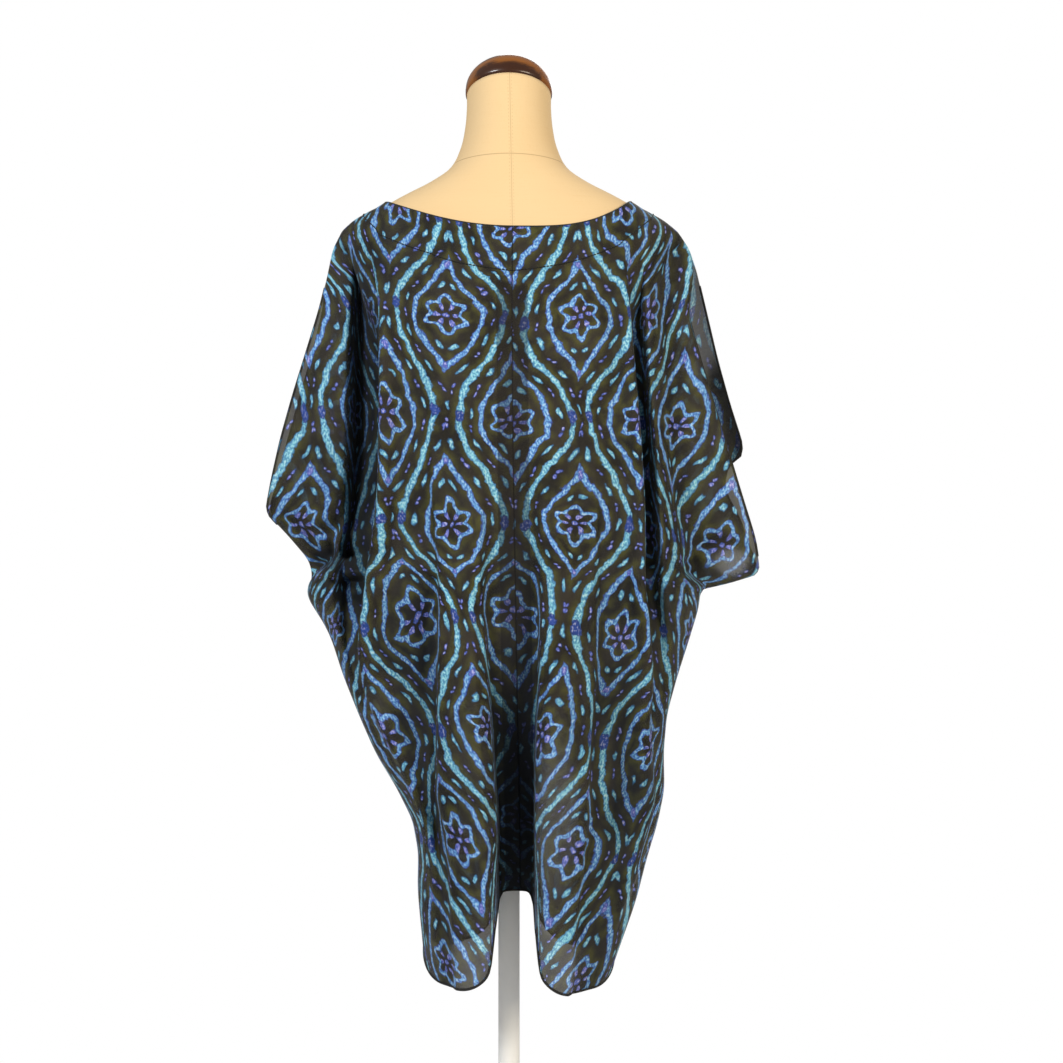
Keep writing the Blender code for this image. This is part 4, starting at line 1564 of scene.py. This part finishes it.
class Recipe:
    """A material's nodes, made from expressions."""

    def __init__(self, name: str) -> None:
        """Make a material with an empty tree and a Principled shader.

        Args:
            name: The material's name.
        """
        self.material = bpy.data.materials.new(name)
        self.material.use_nodes = True
        self.tree = self.material.node_tree
        self.tree.nodes.clear()
        self.output = self.tree.nodes.new("ShaderNodeOutputMaterial")
        self.shader = self.tree.nodes.new("ShaderNodeBsdfPrincipled")
        self.tree.links.new(self.shader.outputs[0], self.output.inputs["Surface"])

    def feed(self, socket: bpy.types.NodeSocket, value: object) -> None:
        """Link a value to a socket, or set the socket to it.

        Args:
            socket: The socket.
            value: A value of this recipe, a colour or a plain setting.
        """
        if isinstance(value, Value):
            self.tree.links.new(value.socket, socket)
        elif isinstance(value, tuple) and socket.type == "RGBA":
            socket.default_value = (*value, 1.0)
        else:
            socket.default_value = value

    def node(
        self, kind: str, settings: dict[str, object] | None = None, **inputs: object
    ) -> bpy.types.Node:
        """Add any node.

        Args:
            kind: The node's type, without its prefix.
            settings: Its settings, which are set first.
            inputs: The values or links of its sockets, by name with _ for a space, or by
                number after an i.

        Returns:
            The node.
        """
        node = self.tree.nodes.new("ShaderNode" + kind)
        for key, value in (settings or {}).items():
            setattr(node, key, value)
        for key, value in inputs.items():
            numbered = key[0] == "i" and key[1:].isdigit()
            socket = node.inputs[int(key[1:])] if numbered else node.inputs[key.replace("_", " ")]
            self.feed(socket, value)
        return node

    def value(self, node: bpy.types.Node, output: int | str = 0) -> Value:
        """Wrap one output of a node."""
        return Value(self, node.outputs[output])

    def math(self, operation: str, *values: "Value | float") -> Value:
        """Add a Math node."""
        inputs = {f"i{k}": value for k, value in enumerate(values)}
        return self.value(self.node("Math", {"operation": operation}, **inputs))

    def between(self, value: Value, low: float, high: float) -> Value:
        """Ease a value from 0 to 1.

        Args:
            value: The value.
            low: Where it is 0.
            high: Where it is 1.

        Returns:
            The eased value.
        """
        settings = {"interpolation_type": "SMOOTHSTEP", "clamp": True}
        inputs = {"Value": value, "From_Min": low, "From_Max": high, "To_Min": 0.0, "To_Max": 1.0}
        return self.value(self.node("MapRange", settings, **inputs))

    def mix(
        self, share: "Value | float", first: "Value | Colour", second: "Value | Colour"
    ) -> Value:
        """Mix two colours."""
        node = self.node("Mix", {"data_type": "RGBA"}, i0=share, i6=first, i7=second)
        return self.value(node, 2)

    def noise(self, place: Value, scale: float, detail: float = 2.0, output: int = 0) -> Value:
        """Read a noise at a place."""
        node = self.node("TexNoise", None, Vector=place, Scale=scale, Detail=detail)
        return self.value(node, output)

    def place(self, x: "Value | float", y: "Value | float", z: "Value | float" = 0.0) -> Value:
        """Put three numbers together as a place."""
        return self.value(self.node("CombineXYZ", None, X=x, Y=y, Z=z))

    def parts(self, place: Value) -> tuple[Value, Value, Value]:
        """Take a place apart into three numbers."""
        node = self.node("SeparateXYZ", None, Vector=place)
        return self.value(node, 0), self.value(node, 1), self.value(node, 2)

    def bump(self, height: Value, distance: float, strength: float = 1.0) -> Value:
        """Turn a height into a normal."""
        node = self.node("Bump", None, Height=height, Distance=distance, Strength=strength)
        return self.value(node)

    def object_place(self) -> Value:
        """Read the place on the object."""
        return self.value(self.node("TexCoord"), "Object")

    def flat_place(self) -> Value:
        """Read the place on the flat cloth."""
        return self.value(self.node("UVMap", {"uv_map": "flat"}), 0)

    def set(self, **inputs: object) -> None:
        """Feed the shader's sockets by name, with _ for a space."""
        for key, value in inputs.items():
            self.feed(self.shader.inputs[key.replace("_", " ")], value)


@dataclass(frozen=True)
class Ink:
    """One kind of drawn line or spot: half its width, its colour and its rim's colour."""

    half: float
    tint: Colour
    rim: Colour


TEAL = (0.290, 0.740, 0.880)
SKY = (0.210, 0.550, 0.950)
PERIWINKLE = (0.270, 0.290, 0.800)
COBALT = (0.045, 0.100, 0.440)
PETROL = (0.050, 0.210, 0.460)
NIGHT_BLUE = (0.020, 0.055, 0.260)

# In the order in which they lie over each other.
INKS = {
    "ring": Ink(0.0032, SKY, COBALT),
    "cell": Ink(0.0037, TEAL, PETROL),
    "flower": Ink(0.0028, SKY, COBALT),
    "rays": Ink(0.0021, PERIWINKLE, COBALT),
    "heart": Ink(0.0032, PERIWINKLE, COBALT),
    "leaves": Ink(0.0026, TEAL, PETROL),
    "seeds": Ink(0.0030, PERIWINKLE, COBALT),
    "beads": Ink(0.0023, TEAL, PETROL),
    "dots": Ink(0.0015, PERIWINKLE, COBALT),
    "knots": Ink(0.0048, COBALT, NIGHT_BLUE),
}


def oval(x: Value, y: Value, long: float) -> Value:
    """Measure how far a place is from an oval's middle, with its length drawn in."""
    y = y / long
    return (x * x + y * y).math("SQRT")


def repeated(value: Value, pitch: float, start: float) -> Value:
    """Fold a length into one repeat, with 0 at its middle."""
    return (value / pitch + start).math("FRACT") * pitch - pitch / 2


@dataclass(frozen=True)
class PrintedCloth:
    """Thin dark crepe with a free print: tall leaf-shaped cells with a flower in each."""

    ground: Colour = (0.040, 0.035, 0.028)
    ground_dark: Colour = (0.018, 0.0165, 0.0140)
    halo: Colour = (0.110, 0.112, 0.024)
    halo_reach: tuple[float, float] = (0.0030, 0.0125)
    halo_share: float = 0.70
    seam_dark: Colour = (0.010, 0.008, 0.007)
    seam_wide: tuple[float, float] = (0.0004, 0.0011)
    seam_share: float = 0.8
    allowance_wide: tuple[float, float] = (0.0165, 0.0185)
    allowance_from: tuple[float, float] = (0.075, 0.080)
    allowance_share: float = 0.70
    allowance_cover: float = 0.2
    width: float = 0.150
    length: float = 0.250
    neck: float = 0.012
    sway_wide: float = 0.030
    sway_long: float = 0.040
    shake: float = 0.0100
    ragged: float = 0.0030
    ragged_wide: float = 0.0034
    ragged_half: float = 0.0036
    soft_edge: float = 0.0006
    core_from: float = 0.45
    ring: float = 0.0260
    flower: float = 0.0195
    flower_squash: float = 0.75
    petals: float = 6.0
    petal: float = 0.0036
    ray_middle: float = 0.0100
    ray_thin: float = 0.55
    ray_break: float = 0.004
    leaf_lean: tuple[float, float] = (0.80, 0.60)
    leaf_place: tuple[float, float] = (0.0305, 0.0290)
    leaf_long: float = 2.2
    seed_place: float = 0.0700
    seed_long: float = 1.6
    bead_pitch: float = 0.0440
    bead_inset: float = 0.0130
    bead_long: float = 2.8
    dot_inset: float = 0.0125
    dot_place: float = 0.0190
    dot_long: float = 1.5
    knot_pitch: float = 0.1250
    knot_long: float = 1.7
    fleck: float = 0.35
    fold_dark: Colour = (0.001, 0.004, 0.009)
    fold_shade: float = 0.76
    fold_cover: float = 0.5
    alpha: float = 0.72
    thread_cover: float = 0.12
    thread_pitch: float = 0.00085
    relief: float = 0.00012
    sheen: float = 0.06

    def material(self) -> bpy.types.Material:
        """Make the material.

        Returns:
            The material.
        """
        r = Recipe("printed_crepe")
        flat = r.flat_place()
        u, v, _ = r.parts(flat)
        gaps, rough = self.motifs(r, flat)
        streak = r.noise(r.place(u, v * 0.6), 480.0, 4.0)
        colour = self.dyed(r, flat, gaps)
        colour = self.painted(r, colour, gaps, rough, streak)

        # The seam allowance along the centre seam: more opaque cloth, with painted shade where the
        # double layer lets less light through from behind; the seam itself is a thin dark line.
        allowance = 1 - r.between(abs(u), *self.allowance_wide)
        allowance = allowance * r.between(v * -1.0, *self.allowance_from)
        colour = r.mix(allowance * self.allowance_share, colour, self.seam_dark)
        seam = 1 - r.between(abs(u), *self.seam_wide)
        colour = r.mix(seam * self.seam_share, colour, self.seam_dark)

        # Painted shade: folds, creases and shaded patches darken the colour towards near black and
        # make the cloth more opaque.
        shade = r.value(r.node("Attribute", {"attribute_name": "shade"}), "Fac")
        colour = r.mix(shade * self.fold_shade, colour, self.fold_dark)

        weave = self.weave(r, u, v)
        cover = allowance * self.allowance_cover + shade * self.fold_cover + self.alpha
        cover = cover + (weave - 0.5) * self.thread_cover
        r.set(
            Base_Color=colour,
            Roughness=r.between(streak, 0.2, 0.8) * 0.12 + 0.62,
            Alpha=cover.math("MINIMUM", 1.0),
            Normal=r.bump(weave, self.relief),
            Sheen_Weight=self.sheen,
            Sheen_Roughness=0.5,
            Specular_IOR_Level=0.15,
        )
        return r.material

    def motifs(self, r: Recipe, flat: Value) -> tuple[dict[str, Value], Value]:
        """Lay out the print.

        Args:
            r: The recipe.
            flat: The place on the flat cloth.

        Returns:
            How far a place is from each kind of line or spot, and how ragged their edges are.
        """
        u, v, _ = r.parts(flat)
        sway = r.parts(r.noise(flat, 12.0, 1.0, 1))
        shake = r.parts(r.noise(flat, 62.0, 2.0, 1))
        along = u + (sway[0] - 0.5) * self.sway_wide + (shake[0] - 0.5) * self.shake
        down = v + (sway[1] - 0.5) * self.sway_long + (shake[1] - 0.5) * self.shake
        rough = (r.noise(flat, 330.0, 2.0) - 0.5) * self.ragged
        rough = rough + (shake[2] - 0.5) * self.ragged_wide

        swing = self.width / 4 - self.neck
        turn = down * (2 * math.pi / self.length)
        bend = turn.math("SINE") * (swing * 2 * math.pi / self.length)
        stretch = (bend * bend + 1.0).math("SQRT")
        column = along.math("PINGPONG", self.width / 2)
        edge = (column - turn.math("COSINE") * swing - self.width / 4) / stretch
        inside = abs(edge)
        beside = edge.math("GREATER_THAN", 0.0)
        x = column + beside * (column * -2.0 + self.width / 2)
        shifted = down + beside * (self.length / 2)
        y = abs(shifted.math("WRAP", self.length / 2, -self.length / 2))

        away = (x * x + y * y * self.flower_squash).math("SQRT")
        petals = (x.math("ARCTAN2", y) * self.petals).math("COSINE")
        rays = abs(away - self.ray_middle) * self.ray_thin
        lean, rise = self.leaf_lean
        leaf_x = x * lean + y * rise - self.leaf_place[0]
        leaf_y = y * lean - x * rise - self.leaf_place[1]
        beat = repeated(down, self.bead_pitch, 0.0)
        gaps = {
            "ring": abs(inside - self.ring),
            "cell": inside,
            "flower": abs(away - self.flower - petals * self.petal),
            "rays": rays + r.between(petals, -0.55, 0.2) * self.ray_break,
            "heart": away,
            "leaves": oval(leaf_x, leaf_y, self.leaf_long),
            "seeds": oval(x, y - self.seed_place, self.seed_long),
            "beads": oval(inside - self.bead_inset, beat, self.bead_long),
            "dots": oval(inside - self.dot_inset, abs(beat) - self.dot_place, self.dot_long),
            "knots": oval(inside, repeated(down, self.knot_pitch, 0.5), self.knot_long),
        }
        return gaps, rough

    def dyed(self, r: Recipe, flat: Value, gaps: dict[str, Value]) -> Value:
        """Colour the ground, with a mottled halo round the larger lines.

        Args:
            r: The recipe.
            flat: The place on the flat cloth.
            gaps: How far a place is from each kind of line or spot.

        Returns:
            The colour.
        """
        uneven = r.between(r.noise(flat, 16.0, 3.0), 0.35, 0.68)
        colour = r.mix(uneven, self.ground_dark, self.ground)
        nearest = gaps["cell"].math("MINIMUM", gaps["ring"]).math("MINIMUM", gaps["flower"])
        glow = 1 - r.between(nearest, *self.halo_reach)
        mottled = glow * r.between(r.noise(flat, 55.0, 4.0), 0.32, 0.66)
        return r.mix(mottled * self.halo_share, colour, self.halo)

    def painted(
        self, r: Recipe, colour: Value, gaps: dict[str, Value], rough: Value, streak: Value
    ) -> Value:
        """Paint the inks over the ground, with dark rims, dry streaks and pale flecks.

        Args:
            r: The recipe.
            colour: The ground's colour.
            gaps: How far a place is from each kind of line or spot.
            rough: How ragged the edges are.
            streak: The grain of the dry ink.

        Returns:
            The colour.
        """
        streaks = r.between(streak, 0.42, 0.54) * 0.80 + 0.20
        flecks = r.between(streak, 0.53, 0.62)
        for name, ink in INKS.items():
            worn = gaps[name] - rough * (ink.half / self.ragged_half)
            mask = 1 - r.between(worn, ink.half - self.soft_edge, ink.half + self.soft_edge)
            core = (1 - r.between(worn, ink.half * self.core_from, ink.half)) * streaks
            pale = tuple(channel + (1.0 - channel) * self.fleck for channel in ink.tint)
            painted = r.mix(core, ink.rim, r.mix(flecks, ink.tint, pale))
            colour = r.mix(mask, colour, painted)
        return colour

    def weave(self, r: Recipe, u: Value, v: Value) -> Value:
        """Make the weave's height, from crossed threads and slubs.

        Args:
            r: The recipe.
            u: The width on the flat cloth.
            v: The length on the flat cloth.

        Returns:
            The height, about 0 to 1.
        """
        warp = (u * (2 * math.pi / self.thread_pitch)).math("SINE")
        weft = (v * (2 * math.pi / self.thread_pitch)).math("SINE")
        slub = r.noise(r.place(u * 12.0, v * 260.0), 2.0, 3.0)
        crepe = r.noise(r.place(u, v), 420.0, 2.0)
        return warp * 0.12 + weft * 0.12 + slub * 0.5 + crepe * 0.5


@dataclass(frozen=True)
class DarkCloth:
    """The same crepe where only its dark ground shows, as on facings and rolled edges."""

    name: str
    colour: Colour

    def material(self) -> bpy.types.Material:
        """Make the material.

        Returns:
            The material.
        """
        r = Recipe(self.name)
        place = r.object_place()
        mottle = r.noise(place, 120.0, 3.0)
        pale = tuple(channel * 1.8 for channel in self.colour)
        threads = r.noise(place, 1400.0, 2.0)
        r.set(
            Base_Color=r.mix(r.between(mottle, 0.35, 0.7), self.colour, pale),
            Roughness=threads * 0.15 + 0.70,
            Normal=r.bump(threads, 0.00015),
            Sheen_Weight=0.12,
            Specular_IOR_Level=0.25,
        )
        return r.material


@dataclass(frozen=True)
class Linen:
    """Cream linen stretched over the form, with its seams drawn as fine grooves."""

    pale: Colour = (0.788, 0.582, 0.322)
    deep: Colour = (0.728, 0.492, 0.236)
    seam: Colour = (0.330, 0.220, 0.100)
    seam_x: float = 0.0310
    seam_lean: float = 0.020
    seam_wide: tuple[float, float] = (0.00010, 0.00060)
    seam_depth: float = 0.7
    neck_seam_z: float = 1.3868
    neck_seam_wide: tuple[float, float] = (0.00015, 0.00070)
    groove_share: float = 0.58
    stitch_pitch: float = 0.0042
    stitch_off: float = 0.0021
    stitch_wide: tuple[float, float] = (0.0003, 0.0006)
    stitch_share: float = 0.22
    relief: float = 0.00022

    def material(self) -> bpy.types.Material:
        """Make the material.

        Returns:
            The material.
        """
        r = Recipe("cream_linen")
        place = r.object_place()
        x, y, z = r.parts(place)
        cloud = r.noise(place, 5.0, 2.0)
        warp = r.noise(r.place(x * 900.0, y * 900.0, z * 26.0), 1.0, 2.0)
        weft = r.noise(r.place(x * 30.0, y * 30.0, z * 1000.0), 1.0, 2.0)
        weave = warp * 0.5 + weft * 0.5
        colour = r.mix(r.between(cloud, 0.3, 0.7) * 0.45, self.pale, self.deep)
        colour = r.mix(r.between(weave, 0.50, 0.72) * 0.30, colour, self.deep)

        centre = abs(x + z * self.seam_lean - self.seam_x)
        neck = abs(z + y * 0.06 + x * x * 0.3 - self.neck_seam_z)
        upright = 1 - r.between(centre, *self.seam_wide)
        round_neck = 1 - r.between(neck, *self.neck_seam_wide)
        stitch = abs((z * (1 / self.stitch_pitch)).math("FRACT") - 0.5)
        beside = 1 - r.between(abs(centre - self.stitch_off), *self.stitch_wide)
        stitches = beside * (1 - r.between(stitch, 0.18, 0.26))
        groove = (upright * self.seam_depth).math("MAXIMUM", round_neck)
        colour = r.mix(groove * self.groove_share, colour, self.seam)
        colour = r.mix(stitches * self.stitch_share, colour, self.seam)
        height = weave * 0.35 - groove - stitches * 0.2
        r.set(
            Base_Color=colour,
            Roughness=weave * 0.1 + 0.80,
            Normal=r.bump(height, self.relief),
            Sheen_Weight=0.08,
            Specular_IOR_Level=0.2,
        )
        return r.material


@dataclass(frozen=True)
class TurnedWood:
    """Dark brown wood under a glossy lacquer."""

    dark: Colour = (0.040, 0.011, 0.002)
    warm: Colour = (0.270, 0.090, 0.008)

    def material(self) -> bpy.types.Material:
        """Make the material.

        Returns:
            The material.
        """
        r = Recipe("lacquered_wood")
        x, y, z = r.parts(r.object_place())
        swirl = r.noise(r.place(x * 14.0, y * 60.0, z * 60.0), 1.0, 4.0)
        rings = ((y * 150.0 + z * 90.0 + swirl * 6.0).math("SINE") + 1.0) * 0.5
        fine = r.noise(r.place(x * 60.0, y * 700.0, z * 700.0), 1.0, 2.0)
        share = rings * 0.6 + fine * 0.4
        r.set(
            Base_Color=r.mix(r.between(share, 0.25, 0.8), self.dark, self.warm),
            Roughness=fine * 0.06 + 0.30,
            Normal=r.bump(fine, 0.00005),
            Specular_IOR_Level=0.3,
            Coat_Weight=0.5,
            Coat_Roughness=0.05,
        )
        return r.material


@dataclass(frozen=True)
class WhitePaint:
    """Satin white paint on steel, a little uneven."""

    colour: Colour = (0.90, 0.90, 0.88)

    def material(self) -> bpy.types.Material:
        """Make the material.

        Returns:
            The material.
        """
        r = Recipe("white_paint")
        place = r.object_place()
        cloud = r.noise(place, 22.0, 2.0)
        peel = r.noise(place, 420.0, 2.0)
        worn = tuple(channel * 0.88 for channel in self.colour)
        r.set(
            Base_Color=r.mix(r.between(cloud, 0.4, 0.75) * 0.5, self.colour, worn),
            Roughness=peel * 0.12 + 0.34,
            Normal=r.bump(peel, 0.00006),
        )
        return r.material


@dataclass
class Finishes:
    """Every material of the object."""

    print_cloth: bpy.types.Material = field(default_factory=lambda: PrintedCloth().material())
    facing_cloth: bpy.types.Material = field(
        default_factory=lambda: DarkCloth("facing_crepe", (0.020, 0.016, 0.011)).material()
    )
    hem_cloth: bpy.types.Material = field(
        default_factory=lambda: DarkCloth("hem_crepe", (0.010, 0.010, 0.010)).material()
    )
    thread: bpy.types.Material = field(
        default_factory=lambda: DarkCloth("black_thread", (0.004, 0.004, 0.004)).material()
    )
    linen: bpy.types.Material = field(default_factory=lambda: Linen().material())
    wood: bpy.types.Material = field(default_factory=lambda: TurnedWood().material())
    paint: bpy.types.Material = field(default_factory=lambda: WhitePaint().material())


@dataclass
class Studio:
    """A pale floor, soft lights and the camera at the photograph's angle."""

    camera_place: tuple[float, float, float] = (0.0265, -2.2, 0.957)
    lens: float = 63.33
    sensor: float = 36.0
    floor_radius: float = 1.12
    floor_colour: Colour = (0.92, 0.92, 0.92)
    room_light: float = 0.30
    aim: tuple[float, float, float] = (0.0, 0.0, 0.95)

    def build(self) -> None:
        """Set up the floor, the room's light, the lamps and the camera."""
        bpy.context.scene.view_settings.view_transform = "Standard"
        self.floor()
        self.room()
        self.light("key", (-1.5, -1.9, 2.3), 47.0, 0.7)
        self.light("fill", (1.6, -1.9, 1.6), 40.0, 1.0, (1.0, 0.88, 0.70))
        self.light("rear", (0.6, 2.2, 2.2), 16.0, 1.4)
        self.camera()

    def floor(self) -> None:
        """Lay a round pale floor, which isn't part of the object."""
        bm = bmesh.new()
        bmesh.ops.create_circle(bm, cap_ends=True, segments=96, radius=self.floor_radius)
        floor = finished("studio_floor", bm)
        recipe = Recipe("studio_white")
        recipe.set(Base_Color=self.floor_colour, Roughness=0.9)
        floor.data.materials.append(recipe.material)

    def room(self) -> None:
        """Fill the room with white light, dimmer than the white that the camera sees."""
        world = bpy.data.worlds.new("studio_world")
        world.use_nodes = True
        background = world.node_tree.nodes["Background"]
        background.inputs["Color"].default_value = (1.0, 1.0, 1.0, 1.0)
        seen = world.node_tree.nodes.new("ShaderNodeLightPath").outputs["Is Camera Ray"]
        strength = world.node_tree.nodes.new("ShaderNodeMapRange")
        strength.inputs["To Min"].default_value = self.room_light
        world.node_tree.links.new(seen, strength.inputs["Value"])
        world.node_tree.links.new(strength.outputs[0], background.inputs["Strength"])
        bpy.context.scene.world = world

    def camera(self) -> None:
        """Hang the camera level, at the photograph's angle."""
        camera = bpy.data.cameras.new("photo_camera")
        camera.lens = self.lens
        camera.sensor_width = self.sensor
        holder = bpy.data.objects.new("photo_camera", camera)
        holder.location = self.camera_place
        holder.rotation_euler = (math.pi / 2, 0.0, 0.0)
        bpy.context.scene.collection.objects.link(holder)
        bpy.context.scene.camera = holder

    def light(
        self,
        name: str,
        place: tuple[float, float, float],
        power: float,
        size: float,
        colour: Colour = (1.0, 1.0, 1.0),
    ) -> None:
        """Add one soft square light that faces the garment.

        Args:
            name: The light's name.
            place: Where it hangs.
            power: Its power, in watts.
            size: The length of its side.
            colour: Its colour.
        """
        lamp = bpy.data.lights.new(name, "AREA")
        lamp.energy = power
        lamp.size = size
        lamp.color = colour
        holder = bpy.data.objects.new(name, lamp)
        holder.location = place
        aim = Vector(self.aim) - Vector(place)
        holder.rotation_euler = aim.to_track_quat("-Z", "Y").to_euler()
        bpy.context.scene.collection.objects.link(holder)


def main() -> None:
    """Build the object in order and report each piece."""
    logging.basicConfig(level=logging.INFO, format="%(name)s: %(message)s")
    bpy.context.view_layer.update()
    finishes = Finishes()
    Studio().build()

    cover = DressForm().build(finishes)
    Stand().build(finishes)
    corners = [vert.co for vert in cover.data.vertices]
    faces = [polygon.vertices for polygon in cover.data.polygons]
    rest = FormRest(BVHTree.FromPolygons(corners, faces))

    kaftan = Kaftan()
    kaftan.shape(rest)
    kaftan.build(finishes)

    bpy.context.view_layer.update()


if __name__ == "__main__":
    main()
